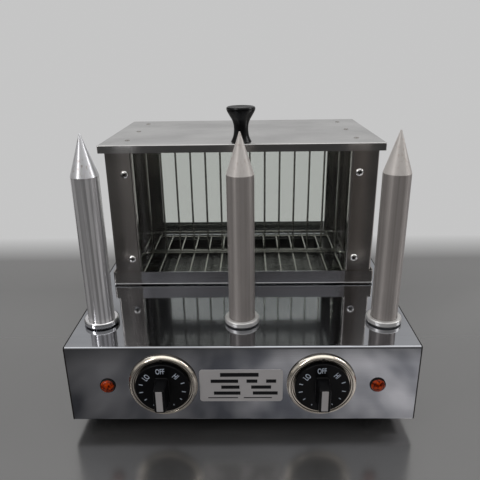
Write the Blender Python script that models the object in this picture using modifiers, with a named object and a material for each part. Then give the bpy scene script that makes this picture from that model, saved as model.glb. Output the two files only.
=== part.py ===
"""Countertop hot dog and bun warmer.

A folded stainless base carries three heated bun spikes in front and a glazed
warming case with a wire basket, a water pan and a hinged lid behind them.
Two energy regulators on the front panel set the heat. Lengths are in metres,
+Z is up and the front panel faces -Y. The origin is the middle of the
footprint, on the surface that the feet stand on.
"""

import math

import bmesh
import bpy
from mathutils import Matrix, Vector

# Gaps and cuts
CLEARANCE = 0.0003
OVERRUN = 0.003
WELD = 0.0004
MERGE_DISTANCE = 0.00001

# Base housing: a folded wrapper closed by two pressed end caps
BASE_WIDTH = 0.330
BASE_HEIGHT = 0.081
REAR_LEDGE = 0.016
FOOT_HEIGHT = 0.015
SHEET = 0.0012
BASE_BEND = 0.0022
BASE_LIP = 0.015
END_REVEAL = 0.0016
END_FLANGE = 0.0095
END_BEND = 0.0012
PLATE_MARGIN = 0.0030

# Rubber feet and the vent slots in the bottom plate
FOOT_TOP_RADIUS = 0.012
FOOT_BOTTOM_RADIUS = 0.010
FOOT_EDGE = 0.0015
FOOT_INSET = 0.032
VENT_LENGTH = 0.046
VENT_WIDTH = 0.005
VENT_PITCH = 0.014
VENT_COUNT = 7
VENT_ROW_SPACING = 0.076
VENT_END_SHARE = 0.49

# Bun spikes, their collars, heaters and nuts
SPIKE_INSET = 0.025
SPIKE_SETBACK = 0.048
SPIKE_RADIUS = 0.0127
SPIKE_BARREL = 0.149
SPIKE_CONE = 0.0395
SPIKE_TIP_RADIUS = 0.0008
SPIKE_EDGE = 0.0004
SHANK_RADIUS = 0.009
SHANK_LENGTH = 0.015
HEATER_RADIUS = 0.0062
HEATER_TOP_WALL = 0.031
HEATER_TAIL = 0.004
HEATER_CAP_RADIUS = 0.0048
HEATER_CAP_LENGTH = 0.007
COLLAR_RADIUS = 0.017
COLLAR_HEIGHT = 0.0058
COLLAR_ROUND = 0.0016
COLLAR_FOOT_RADIUS = 0.0145
COLLAR_FOOT_HEIGHT = 0.0012
COLLAR_FLARE_HEIGHT = 0.0011
NUT_ACROSS_CORNERS = 0.0265
NUT_HEIGHT = 0.006
NUT_SIDES = 6

# Controls on the front panel
CONTROL_TO_LAMP = 0.0525
CONTROL_DROP = 0.040
BEZEL_RADIUS = 0.0325
BEZEL_CROWN_RADIUS = 0.0302
BEZEL_CROWN_WIDTH = 0.0006
BEZEL_CROWN_HEIGHT = 0.0046
BEZEL_STEP_RADIUS = 0.0285
BEZEL_STEP_HEIGHT = 0.0034
BEZEL_WELL_RADIUS = 0.0266
BEZEL_FLOOR = 0.0010
BEZEL_EDGE_HEIGHT = 0.0014
SHAFT_RADIUS = 0.003
SHAFT_HOLE_RADIUS = 0.006
DIAL_RADIUS = 0.0255
DIAL_BACK = 0.0023
DIAL_FACE = 0.0070
DIAL_EDGE = 0.0009
GRIP_HEIGHT = 0.0178
GRIP_FOOT_WIDTH = 0.0115
GRIP_FOOT_LENGTH = 0.0275
GRIP_FOOT_DROP = 0.0022
GRIP_FACE_WIDTH = 0.0105
GRIP_FACE_LENGTH = 0.0235
GRIP_FACE_DROP = 0.0012
GRIP_CORNER = 0.0020
GRIP_ROUND = 0.0008
POINTER_WIDTH = 0.0059
POINTER_LENGTH = 0.0211
POINTER_DROP = 0.0008
POINTER_DEPTH = 0.0008
POINTER_PROUD = 0.0002
SHAFT_GRIP = 0.0080
SHAFT_ENTRY = 0.0090
REGULATOR_SIZE = 0.042
REGULATOR_DEPTH = 0.030
REGULATOR_EDGE = 0.002
TAB_WIDTH = 0.0063
TAB_LENGTH = 0.008
TAB_THICKNESS = 0.0009
TAB_OFFSET = 0.013

# Indicator lamps
LAMP_INSET = 0.0385
LAMP_DROP = 0.041
LAMP_LENS_RADIUS = 0.0065
LAMP_RIM = 0.0012
LAMP_DOME = 0.0036
LAMP_BODY_RADIUS = 0.0048
LAMP_CATCH_RADIUS = 0.0054
LAMP_CATCH_LENGTH = 0.0050
LAMP_BODY_LENGTH = 0.022

# Cord gland in the rear panel and the terminal block behind it
GLAND_INSET = 0.060
GLAND_HEIGHT = 0.032
GLAND_REACH = 0.012
GLAND_RADIUS = 0.0100
GLAND_NOSE_RADIUS = 0.0075
GLAND_SHANK_RADIUS = 0.0078
GLAND_NUT_RADIUS = 0.0105
GLAND_NUT_LENGTH = 0.006
GLAND_BORE_RADIUS = 0.0045
GLAND_ROUND = 0.0015
TERMINAL_WIDTH = 0.052
TERMINAL_DEPTH = 0.022
TERMINAL_HEIGHT = 0.017
TERMINAL_SETBACK = 0.045
TERMINAL_SHIFT = 0.035
TERMINAL_WAYS = 4
TERMINAL_WELL_RADIUS = 0.0032
TERMINAL_WELL_DEPTH = 0.006
TERMINAL_EDGE = 0.001

# Warming case
SIDE_LEDGE = 0.020
CASE_SETBACK = 0.134
CASE_DEPTH = 0.180
CASE_FLANGE = 0.0287
CASE_LIP = 0.008
CASE_BEND = 0.0020
BAND_STEP = 0.0032
BAND_LIFT = 0.0015
BAND_TOP = 0.0165
RAIL_RETURN = 0.008
TOP_RAIL_RETURN = 0.007
TOP_RAIL = 0.0072
RAIL_BEND = 0.0014
GLASS = 0.004
GLASS_OVERLAP = 0.008
GLASS_EDGE = 0.0006
SCREW_INSET = 0.020
SCREW_LOW = 0.0325
SCREW_TOP_DROP = 0.0318
SCREW_HEAD_RADIUS = 0.0043
SCREW_HEAD_HEIGHT = 0.0026
SCREW_RADIUS = 0.002
SCREW_LENGTH = 0.006

# Lid, its knob, stiffeners and hinge
LID_SIDE_OVERHANG = 0.0058
LID_END_OVERHANG = 0.00435
LID_HEIGHT = 0.1618
LID_SKIRT = 0.0084
LID_BEND = 0.0014
LID_CORNER = 0.0012
KNOB_SETBACK = 0.016
KNOB_HEIGHT = 0.0362
KNOB_BASE_RADIUS = 0.0109
KNOB_WAIST_RADIUS = 0.0075
KNOB_TOP_RADIUS = 0.0152
KNOB_WAIST_HEIGHT = 0.0135
KNOB_RIM_HEIGHT = 0.0325
KNOB_DISH = 0.0012
KNOB_TOP_SHARES = ((0, -1), (0.55, -1), (0.88, 0), (0.97, -0.5), (1, -1.6))
KNOB_FLARE_POWER = 1.75
KNOB_FOOT_POWER = 2.4
KNOB_INSERT_DEPTH = 0.013
KNOB_SCREW_RADIUS = 0.002
KNOB_SCREW_HEAD_RADIUS = 0.0038
KNOB_SCREW_HEAD = 0.0022
STIFFENER_INSET = 0.020
STIFFENER_END_GAP = 0.016
STIFFENER_CROWN = 0.010
STIFFENER_DROP = 0.007
STIFFENER_FOOT = 0.006
STIFFENER_SHEET = 0.0010
STIFFENER_BEND = 0.0010
HINGE_INSET = 0.0050
HINGE_TAB_GAP = 0.0015
HINGE_WEB = 0.0058
HINGE_KNUCKLES = 9
HINGE_PIN_RADIUS = 0.0012
HINGE_KNUCKLE_RADIUS = 0.0024
HINGE_LEAF = 0.0010
HINGE_DROP = 0.0050
HINGE_PIN_STANDOFF = 0.0032
HINGE_LEAF_LOW = 0.0022
HINGE_LEAF_HIGH = 0.0044
HINGE_JOGGLE_TOP = 0.0070
HINGE_JOGGLE_BOTTOM = 0.0095
HINGE_TAIL = 0.0200
HINGE_BEND = 0.0008
HINGE_GAP = 0.0004

# Water pan, its heating element and the wire basket over it
PAN_SIDE_INSET = 0.039
PAN_END_INSET = 0.032
PAN_FLANGE = 0.014
PAN_DEPTH = 0.013
PAN_SHEET = 0.0010
PAN_CORNER = 0.012
PAN_BEND = 0.0020
ELEMENT_RADIUS = 0.0033
ELEMENT_SIDE_INSET = 0.020
ELEMENT_END_INSET = 0.018
ELEMENT_CORNER = 0.016
ELEMENT_GAP = 0.030
ELEMENT_DROP = 0.014
FLOOR_WIRE_RADIUS = 0.0012
RIM_WIRE_RADIUS = 0.0015
WIRE_PITCH = 0.0182
WIRE_OVERHANG = 0.0045
BASKET_END_GAP = 0.0032
BASKET_SIDE_GAP = 0.0128
BASKET_CORNER = 0.010
BEARER_INSET = 0.010
DIVIDER_SHIFT = -0.0027
DIVIDER_SLOT = 0.0070
DIVIDER_HEADROOM = 0.0238

# Sides of round pieces, steps in bends, and the angles at which edges are sharp or rounded
SIDES_LARGE = 32
SIDES_MEDIUM = 20
SIDES_SMALL = 14
SIDES_TINY = 10
SIDES_WIRE = 6
BEND_STEPS = 2
CORNER_STEPS = 3
SHARP_ANGLE = 35
ROUNDED_ANGLE = 40

# Sizes worked out from those above
BASE_DEPTH = CASE_SETBACK + CASE_DEPTH + REAR_LEDGE
CASE_WIDTH = BASE_WIDTH - 2 * SIDE_LEDGE
SPIKE_SPACING = BASE_WIDTH / 2 - SPIKE_INSET
HEATER_DEPTH = SPIKE_BARREL - HEATER_TOP_WALL
LAMP_SPACING = BASE_WIDTH / 2 - LAMP_INSET
CONTROL_SPACING = LAMP_SPACING - CONTROL_TO_LAMP
GLAND_SIDE = BASE_WIDTH / 2 - GLAND_INSET
TERMINAL_SIDE = GLAND_SIDE - TERMINAL_SHIFT
SCREW_HIGH = LID_HEIGHT - SCREW_TOP_DROP
LID_WIDTH = CASE_WIDTH + 2 * LID_SIDE_OVERHANG
LID_DEPTH = CASE_DEPTH + 2 * LID_END_OVERHANG
STIFFENER_SPACING = CASE_WIDTH / 2 - STIFFENER_INSET
STIFFENER_LENGTH = CASE_DEPTH - 2 * STIFFENER_END_GAP
HINGE_LENGTH = CASE_WIDTH - 2 * HINGE_INSET
PAN_OPENING_WIDTH = CASE_WIDTH - 2 * PAN_SIDE_INSET
PAN_OPENING_DEPTH = CASE_DEPTH - 2 * PAN_END_INSET
BASKET_DEPTH = CASE_DEPTH - 2 * (CASE_LIP + CLEARANCE + GLASS + BASKET_END_GAP)
BASKET_RIM_WIDTH = CASE_WIDTH - 2 * (SHEET + BASKET_SIDE_GAP)
WIRE_COUNT = int(BASKET_RIM_WIDTH / WIRE_PITCH)
DIVIDER_HEIGHT = LID_HEIGHT - DIVIDER_HEADROOM

# Places worked out from the sizes above
KNOB_REACH = DIAL_FACE + GRIP_HEIGHT + POINTER_PROUD
FRONT_Y = -(BASE_DEPTH + GLAND_REACH - KNOB_REACH) / 2
REAR_Y = FRONT_Y + BASE_DEPTH
DECK_Z = FOOT_HEIGHT + BASE_HEIGHT
CASE_FRONT_Y = FRONT_Y + CASE_SETBACK
CASE_REAR_Y = CASE_FRONT_Y + CASE_DEPTH
CASE_MID_Y = (CASE_FRONT_Y + CASE_REAR_Y) / 2
LID_TOP_Z = DECK_Z + LID_HEIGHT
CASE_TOP_Z = LID_TOP_Z - SHEET - CLEARANCE
CONTROL_Z = DECK_Z - CONTROL_DROP
SPIKE_Y = FRONT_Y + SPIKE_SETBACK
SEAT = SHEET + CLEARANCE
PLATE_Z = FOOT_HEIGHT + 2 * SEAT
PLATE_TOP_Z = PLATE_Z + SHEET
HINGE_Y = CASE_MID_Y + LID_DEPTH / 2 + HINGE_PIN_STANDOFF
HINGE_Z = LID_TOP_Z - HINGE_DROP

# Directions that a piece's own +Z can point in: columns are its X, Y and Z
FACING_UP = Matrix.Identity(3)
FACING_FRONT = Matrix(((1, 0, 0), (0, 0, -1), (0, 1, 0)))
FACING_REAR = Matrix(((-1, 0, 0), (0, 0, 1), (0, 1, 0)))
FACING_LEFT = Matrix(((0, 0, -1), (-1, 0, 0), (0, 1, 0)))
FACING_RIGHT = Matrix(((0, 0, 1), (1, 0, 0), (0, 1, 0)))


def start_scene():
    """Empty the scene and return the collections for the parts and the cutters."""
    for obj in list(bpy.data.objects):
        bpy.data.objects.remove(obj)
    parts = bpy.data.collections.new("hot_dog_and_bun_warmer")
    tools = bpy.data.collections.new("cutters")
    bpy.context.scene.collection.children.link(parts)
    bpy.context.scene.collection.children.link(tools)
    return parts, tools


PARTS, CUTTERS = start_scene()


def finish(name, colour, roughness, metallic):
    """A Principled BSDF material of one colour."""
    material = bpy.data.materials.new(name)
    material.use_nodes = True
    shader = material.node_tree.nodes["Principled BSDF"]
    shader.inputs["Base Color"].default_value = (*colour, 1.0)
    shader.inputs["Roughness"].default_value = roughness
    shader.inputs["Metallic"].default_value = metallic
    material.diffuse_color = (*colour, 1.0)
    return material


STAINLESS = finish("stainless_steel", (0.55, 0.55, 0.56), 0.22, 1.0)
CASE_STEEL = finish("case_stainless", (0.38, 0.37, 0.36), 0.25, 1.0)
ALUMINIUM = finish("turned_aluminium", (0.60, 0.60, 0.60), 0.38, 1.0)
COLLAR_STEEL = finish("polished_collar", (0.72, 0.71, 0.69), 0.15, 1.0)
NICKEL = finish("bezel_nickel", (0.74, 0.68, 0.60), 0.12, 1.0)
BLACK_PLASTIC = finish("black_plastic", (0.015, 0.015, 0.016), 0.35, 0.0)
GREY_PLASTIC = finish("pointer_grey", (0.42, 0.41, 0.41), 0.45, 0.0)
AMBER = finish("amber_lens", (0.85, 0.25, 0.04), 0.20, 0.0)
GLAZING = finish("clear_glass", (0.80, 0.88, 0.85), 0.05, 0.0)
WIRE_STEEL = finish("basket_wire", (0.62, 0.61, 0.58), 0.20, 1.0)
RUBBER = finish("foot_rubber", (0.03, 0.03, 0.03), 0.80, 0.0)
BAKELITE = finish("regulator_bakelite", (0.10, 0.07, 0.05), 0.50, 0.0)
SHEATH = finish("element_sheath", (0.30, 0.29, 0.28), 0.45, 1.0)
CERAMIC = finish("terminal_ceramic", (0.80, 0.78, 0.72), 0.60, 0.0)
ZINC = finish("zinc_plate", (0.62, 0.62, 0.60), 0.30, 1.0)


def mesh_object(name, bm, material=None):
    """Link a bmesh as a smooth-shaded object; without a material it is a helper."""
    mesh = bpy.data.meshes.new(name)
    bm.to_mesh(mesh)
    bm.free()
    return link_mesh(name, mesh, material)


def link_mesh(name, mesh, material):
    """Link a mesh to the parts, or to the cutters when it has no material."""
    obj = bpy.data.objects.new(name, mesh)
    if material is None:
        CUTTERS.objects.link(obj)
        obj.hide_render = True
        obj.display_type = "WIRE"
        return obj
    PARTS.objects.link(obj)
    mesh.materials.append(material)
    mesh.shade_smooth()
    mesh.set_sharp_from_angle(angle=math.radians(SHARP_ANGLE))
    return obj


def place(obj, location, facing=FACING_UP):
    """Turn a piece's own +Z to a direction and move its origin."""
    obj.matrix_world = Matrix.Translation(location) @ facing.to_4x4()
    return obj


def boolean(obj, tool, operation):
    """Cut, join or clip a piece with a helper."""
    modifier = obj.modifiers.new(tool.name, "BOOLEAN")
    modifier.operation = operation
    modifier.solver = "EXACT"
    modifier.object = tool
    return obj


def cut(obj, tool):
    return boolean(obj, tool, "DIFFERENCE")


def fuse(obj, tool):
    return boolean(obj, tool, "UNION")


def box(name, size, centre, material=None, facing=FACING_UP):
    """A block of three sizes about its centre."""
    bm = bmesh.new()
    bmesh.ops.create_cube(bm, size=1.0)
    bmesh.ops.scale(bm, vec=Vector(size), verts=bm.verts)
    return place(mesh_object(name, bm, material), centre, facing)


def cylinder(name, radius, length, centre, facing=FACING_UP, sides=SIDES_MEDIUM, material=None):
    """A cylinder about its centre, or a prism with few sides."""
    bm = bmesh.new()
    bmesh.ops.create_cone(
        bm, cap_ends=True, segments=sides, radius1=radius, radius2=radius, depth=length
    )
    return place(mesh_object(name, bm, material), centre, facing)


def soften(obj, width, segments=BEND_STEPS):
    """Round the sharp edges of a piece."""
    modifier = obj.modifiers.new("edges", "BEVEL")
    modifier.width = width
    modifier.segments = segments
    modifier.limit_method = "ANGLE"
    modifier.angle_limit = math.radians(ROUNDED_ANGLE)
    return obj


def turned(name, profile, material, location, facing=FACING_UP, sides=SIDES_MEDIUM, ring=False):
    """Spin a profile of (radius, height) points, which runs down its outer side."""
    bm = bmesh.new()
    points = [bm.verts.new((radius, 0, height)) for radius, height in profile]
    for first, second in zip(points, points[1:]):
        bm.edges.new((first, second))
    if ring:
        bm.edges.new((points[-1], points[0]))
    obj = mesh_object(name, bm, material)
    modifier = obj.modifiers.new("turn", "SCREW")
    modifier.steps = sides
    modifier.render_steps = sides
    modifier.use_merge_vertices = True
    modifier.merge_threshold = MERGE_DISTANCE
    return place(obj, location, facing)


def filleted(corners, radius, steps=BEND_STEPS, closed=False):
    """Replace the corners of a flat path with arcs."""
    corners = [Vector(corner) for corner in corners]
    path = []
    for index, corner in enumerate(corners):
        if not closed and index in (0, len(corners) - 1):
            path.append(corner)
            continue
        before = (corners[index - 1] - corner).normalized()
        after = (corners[(index + 1) % len(corners)] - corner).normalized()
        half_angle = before.angle(after) / 2
        reach = radius / math.tan(half_angle)
        centre = corner + (before + after).normalized() * radius / math.sin(half_angle)
        start = (corner + before * reach - centre).normalized()
        end = (corner + after * reach - centre).normalized()
        path += [centre + start.slerp(end, step / steps) * radius for step in range(steps + 1)]
    return path


def rectangle(width, depth, centre=(0, 0)):
    """The corners of a rectangle, counterclockwise."""
    x, y = centre
    return [
        (x - width / 2, y - depth / 2),
        (x + width / 2, y - depth / 2),
        (x + width / 2, y + depth / 2),
        (x - width / 2, y + depth / 2),
    ]


def folded(name, corners, length, bend, sheet, material, location, facing=FACING_UP, inside=-1):
    """A sheet bent along a flat path and as long as its own Z says, about its middle."""
    bm = bmesh.new()
    rows = []
    for side in (-1, 1):
        row = [bm.verts.new((p.x, p.y, side * length / 2)) for p in filleted(corners, bend)]
        rows.append(row)
    low, high = rows
    for index in range(len(low) - 1):
        bm.faces.new((low[index], low[index + 1], high[index + 1], high[index]))
    obj = mesh_object(name, bm, material)
    thicken(obj, sheet, inside)
    return place(obj, location, facing)


def thicken(obj, sheet, inside=-1):
    """Give an open surface its sheet thickness on one side."""
    modifier = obj.modifiers.new("sheet", "SOLIDIFY")
    modifier.thickness = sheet
    modifier.offset = inside
    modifier.use_even_offset = True
    return obj


def pressed(name, width, depth, wall, corner, bend, sheet, material, location, facing=FACING_UP):
    """A tray pressed from sheet: a flat plate facing +Z with a wall folded down all round."""
    bm = bmesh.new()
    outline = filleted(rectangle(width, depth), corner, CORNER_STEPS, closed=True)
    plate = bm.faces.new([bm.verts.new((p.x, p.y, 0)) for p in outline])
    rim = list(plate.edges)
    walls = bmesh.ops.extrude_edge_only(bm, edges=rim)["geom"]
    moved = [item for item in walls if isinstance(item, bmesh.types.BMVert)]
    bmesh.ops.translate(bm, vec=(0, 0, -wall), verts=moved)
    bmesh.ops.bevel(
        bm, geom=rim, offset=bend, segments=BEND_STEPS, profile=0.5, affect="EDGES"
    )
    bmesh.ops.recalc_face_normals(bm, faces=bm.faces)
    obj = mesh_object(name, bm, material)
    thicken(obj, sheet)
    return place(obj, location, facing)


def wire_mesh(name, points, radius, material=None, closed=False, resolution=1):
    """A round wire along points, as a closed mesh."""
    curve = bpy.data.curves.new(name + "_path", "CURVE")
    curve.dimensions = "3D"
    curve.bevel_depth = radius
    curve.bevel_resolution = resolution
    curve.use_fill_caps = True
    spline = curve.splines.new("POLY")
    spline.points.add(len(points) - 1)
    for target, point in zip(spline.points, points):
        target.co = (*point, 1.0)
    spline.use_cyclic_u = closed
    guide = bpy.data.objects.new(name + "_path", curve)
    CUTTERS.objects.link(guide)
    evaluated = guide.evaluated_get(bpy.context.evaluated_depsgraph_get())
    mesh = bpy.data.meshes.new_from_object(evaluated)
    bpy.data.objects.remove(guide)
    bm = bmesh.new()
    bm.from_mesh(mesh)
    bmesh.ops.remove_doubles(bm, verts=bm.verts, dist=MERGE_DISTANCE)
    bmesh.ops.recalc_face_normals(bm, faces=bm.faces)
    bm.to_mesh(mesh)
    bm.free()
    mesh.materials.clear()
    return link_mesh(name, mesh, material)


def arc_profile(centre, radius, start, end, steps):
    """Points of a profile arc, in degrees from +X towards +Z."""
    x, z = centre
    points = []
    for step in range(steps + 1):
        angle = math.radians(start + (end - start) * step / steps)
        points.append((x + radius * math.cos(angle), z + radius * math.sin(angle)))
    return points


def base_wrapper():
    """Front panel, deck and rear panel, folded from one sheet, with a lip under each panel."""
    bottom = FOOT_HEIGHT
    corners = [
        (FRONT_Y + BASE_LIP, bottom),
        (FRONT_Y, bottom),
        (FRONT_Y, DECK_Z),
        (REAR_Y, DECK_Z),
        (REAR_Y, bottom),
        (REAR_Y - BASE_LIP, bottom),
    ]
    width = BASE_WIDTH - 2 * END_REVEAL
    obj = folded(
        "base_wrapper", corners, width, BASE_BEND, SHEET, STAINLESS, (0, 0, 0), FACING_RIGHT, 1
    )
    through = 2 * OVERRUN
    for side in (-1, 0, 1):
        centre = (side * SPIKE_SPACING, SPIKE_Y, DECK_Z)
        radius = SHANK_RADIUS + CLEARANCE
        cut(obj, cylinder(f"spike_hole_{side}", radius, through, centre, sides=SIDES_MEDIUM))
    for side in (-1, 1):
        centre = (side * CONTROL_SPACING, FRONT_Y, CONTROL_Z)
        name = f"shaft_hole_{side}"
        cut(obj, cylinder(name, SHAFT_HOLE_RADIUS, through, centre, FACING_FRONT, SIDES_TINY))
        centre = (side * LAMP_SPACING, FRONT_Y, DECK_Z - LAMP_DROP)
        radius = LAMP_BODY_RADIUS + CLEARANCE
        cut(obj, cylinder(f"lamp_hole_{side}", radius, through, centre, FACING_FRONT, SIDES_SMALL))
    centre = (GLAND_SIDE, REAR_Y, FOOT_HEIGHT + GLAND_HEIGHT)
    radius = GLAND_SHANK_RADIUS + CLEARANCE
    cut(obj, cylinder("gland_hole", radius, through, centre, FACING_REAR, SIDES_SMALL))
    opening = (PAN_OPENING_WIDTH, PAN_OPENING_DEPTH, through)
    cut(obj, box("pan_opening", opening, (0, CASE_MID_Y, DECK_Z)))


def base_sides():
    """Pressed end caps, seated inside the wrapper with a flange all round."""
    depth = BASE_DEPTH - 2 * SEAT
    height = BASE_HEIGHT - 2 * SEAT
    centre_y = (FRONT_Y + REAR_Y) / 2
    centre_z = FOOT_HEIGHT + BASE_HEIGHT / 2
    for name, side, facing in (("left", -1, FACING_LEFT), ("right", 1, FACING_RIGHT)):
        place_at = (side * BASE_WIDTH / 2, centre_y, centre_z)
        pressed(
            f"base_side_{name}", depth, height, END_FLANGE, BASE_BEND, END_BEND, SHEET,
            STAINLESS, place_at, facing,
        )


def vent_slots():
    """Two rows of round-ended slots, as one cutter."""
    bm = bmesh.new()
    height = SHEET + 2 * OVERRUN
    for row in (-1, 1):
        for index in range(VENT_COUNT):
            x = (index - (VENT_COUNT - 1) / 2) * VENT_PITCH
            y = row * VENT_ROW_SPACING / 2
            slot = rectangle(VENT_WIDTH, VENT_LENGTH, (x, y))
            outline = filleted(slot, VENT_WIDTH * VENT_END_SHARE, 1, closed=True)
            face = bm.faces.new([bm.verts.new((p.x, p.y, -height / 2)) for p in outline])
            walls = bmesh.ops.extrude_face_region(bm, geom=[face])["geom"]
            moved = [item for item in walls if isinstance(item, bmesh.types.BMVert)]
            bmesh.ops.translate(bm, vec=(0, 0, height), verts=moved)
    bmesh.ops.recalc_face_normals(bm, faces=bm.faces)
    return place(mesh_object("vent_slots", bm), (0, FRONT_Y + BASE_DEPTH / 2, PLATE_Z + SHEET / 2))


def base_floor():
    """Bottom plate on the lips of the wrapper and caps, and the four feet under it."""
    width = BASE_WIDTH - 2 * (SHEET + PLATE_MARGIN)
    depth = BASE_DEPTH - 2 * (SHEET + PLATE_MARGIN)
    centre_y = FRONT_Y + BASE_DEPTH / 2
    centre_z = PLATE_Z + SHEET / 2
    plate = box("base_bottom_plate", (width, depth, SHEET), (0, centre_y, centre_z), ZINC)
    cut(plate, vent_slots())
    top = PLATE_Z - CLEARANCE
    profile = [
        (0, top),
        (FOOT_TOP_RADIUS - FOOT_EDGE, top),
        (FOOT_TOP_RADIUS, top - FOOT_EDGE),
        (FOOT_BOTTOM_RADIUS, FOOT_EDGE),
        (FOOT_BOTTOM_RADIUS - FOOT_EDGE, 0),
        (0, 0),
    ]
    spread_x = BASE_WIDTH / 2 - FOOT_INSET
    spread_y = BASE_DEPTH / 2 - FOOT_INSET
    for row, y in (("front", -spread_y), ("rear", spread_y)):
        for name, x in (("left", -spread_x), ("right", spread_x)):
            turned(f"foot_{row}_{name}", profile, RUBBER, (x, centre_y + y, 0), sides=SIDES_SMALL)


def spike_profile():
    """A pointed round bar with a threaded shank below and a blind bore for its heater."""
    barrel = SPIKE_BARREL
    bore = HEATER_RADIUS + CLEARANCE
    return [
        (0, barrel + SPIKE_CONE),
        (SPIKE_TIP_RADIUS, barrel + SPIKE_CONE - SPIKE_TIP_RADIUS),
        (SPIKE_RADIUS - SPIKE_EDGE, barrel + SPIKE_EDGE),
        (SPIKE_RADIUS, barrel - SPIKE_EDGE),
        (SPIKE_RADIUS, CLEARANCE),
        (SHANK_RADIUS, CLEARANCE),
        (SHANK_RADIUS, -SHANK_LENGTH),
        (bore, -SHANK_LENGTH),
        (bore, HEATER_DEPTH),
        (0, HEATER_DEPTH + bore / 2),
    ]


def collar_profile():
    """A rounded ring on a narrower foot, open round the spike."""
    inner = SPIKE_RADIUS + CLEARANCE
    low = CLEARANCE
    high = CLEARANCE + COLLAR_HEIGHT
    neck = low + COLLAR_FOOT_HEIGHT
    crown = arc_profile(
        (COLLAR_RADIUS - COLLAR_ROUND, high - COLLAR_ROUND), COLLAR_ROUND, 90, 0, BEND_STEPS + 1
    )
    return [
        (inner, high),
        *crown,
        (COLLAR_RADIUS, neck + COLLAR_FLARE_HEIGHT),
        (COLLAR_FOOT_RADIUS, neck),
        (COLLAR_FOOT_RADIUS, low),
        (inner, low),
    ]


def heater_profile():
    """A cartridge heater with a smaller ceramic end where its leads come out."""
    top = HEATER_DEPTH - CLEARANCE
    bottom = -SHANK_LENGTH - HEATER_TAIL
    return [
        (0, top),
        (HEATER_RADIUS, top),
        (HEATER_RADIUS, bottom),
        (HEATER_CAP_RADIUS, bottom),
        (HEATER_CAP_RADIUS, bottom - HEATER_CAP_LENGTH),
        (0, bottom - HEATER_CAP_LENGTH),
    ]


def bun_spikes():
    """Three heated spikes through the deck, each with a collar, a heater and a nut."""
    for name, side in (("left", -1), ("centre", 0), ("right", 1)):
        foot = (side * SPIKE_SPACING, SPIKE_Y, DECK_Z)
        turned(f"bun_spike_{name}", spike_profile(), ALUMINIUM, foot, sides=SIDES_MEDIUM)
        turned(f"spike_collar_{name}", collar_profile(), COLLAR_STEEL, foot, ring=True)
        turned(f"spike_heater_{name}", heater_profile(), SHEATH, foot, sides=SIDES_SMALL)
        centre = Vector(foot) - Vector((0, 0, SEAT + NUT_HEIGHT / 2))
        nut = cylinder(
            f"spike_nut_{name}", NUT_ACROSS_CORNERS / 2, NUT_HEIGHT, centre,
            sides=NUT_SIDES, material=ZINC,
        )
        radius = SHANK_RADIUS + CLEARANCE
        cut(nut, cylinder(f"nut_bore_{name}", radius, 2 * NUT_HEIGHT, centre, sides=SIDES_MEDIUM))


def bezel_profile():
    """A stepped dish with a floor that the regulator's shaft passes through."""
    back = CLEARANCE
    floor = CLEARANCE + BEZEL_FLOOR
    return [
        (BEZEL_WELL_RADIUS, floor),
        (BEZEL_WELL_RADIUS, BEZEL_STEP_HEIGHT),
        (BEZEL_STEP_RADIUS, BEZEL_STEP_HEIGHT),
        (BEZEL_CROWN_RADIUS - BEZEL_CROWN_WIDTH, BEZEL_CROWN_HEIGHT),
        (BEZEL_CROWN_RADIUS, BEZEL_CROWN_HEIGHT),
        (BEZEL_RADIUS, BEZEL_EDGE_HEIGHT),
        (BEZEL_RADIUS, back),
        (SHAFT_HOLE_RADIUS, back),
        (SHAFT_HOLE_RADIUS, floor),
    ]


def dial_profile():
    """The knob's skirt, with its printed face in front."""
    return [
        (0, DIAL_FACE),
        (DIAL_RADIUS - DIAL_EDGE, DIAL_FACE),
        (DIAL_RADIUS, DIAL_FACE - DIAL_EDGE),
        (DIAL_RADIUS, DIAL_BACK),
        (0, DIAL_BACK),
    ]


def grip(name):
    """A bar across the dial, drafted from its foot to its face, with an eased face edge."""
    face = DIAL_FACE + GRIP_HEIGHT
    eased_width = GRIP_FACE_WIDTH - 2 * GRIP_ROUND
    eased_length = GRIP_FACE_LENGTH - 2 * GRIP_ROUND
    layers = (
        (GRIP_FOOT_WIDTH, GRIP_FOOT_LENGTH, GRIP_FOOT_DROP, DIAL_FACE - WELD),
        (GRIP_FACE_WIDTH, GRIP_FACE_LENGTH, GRIP_FACE_DROP, face - GRIP_ROUND),
        (eased_width, eased_length, GRIP_FACE_DROP, face),
    )
    bm = bmesh.new()
    rings = []
    for width, length, drop, height in layers:
        corners = rectangle(width, length, (0, -drop))
        outline = filleted(corners, GRIP_CORNER, CORNER_STEPS, closed=True)
        rings.append([bm.verts.new((point.x, point.y, height)) for point in outline])
    for low, high in zip(rings, rings[1:]):
        for index in range(len(low)):
            turn = (index + 1) % len(low)
            bm.faces.new((low[index], low[turn], high[turn], high[index]))
    bm.faces.new(rings[0])
    bm.faces.new(rings[-1])
    bmesh.ops.recalc_face_normals(bm, faces=bm.faces)
    return mesh_object(name, bm)


def pointer_block(name, clearance, height, lift, material=None):
    """A slab lying on the grip's face; lift is its middle above that face."""
    bm = bmesh.new()
    bmesh.ops.create_cube(bm, size=1.0)
    size = (POINTER_WIDTH + 2 * clearance, POINTER_LENGTH + 2 * clearance, height)
    bmesh.ops.scale(bm, vec=size, verts=bm.verts)
    centre = (0, -POINTER_DROP, DIAL_FACE + GRIP_HEIGHT + lift)
    bmesh.ops.translate(bm, vec=centre, verts=bm.verts)
    return mesh_object(name, bm, material)


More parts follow.
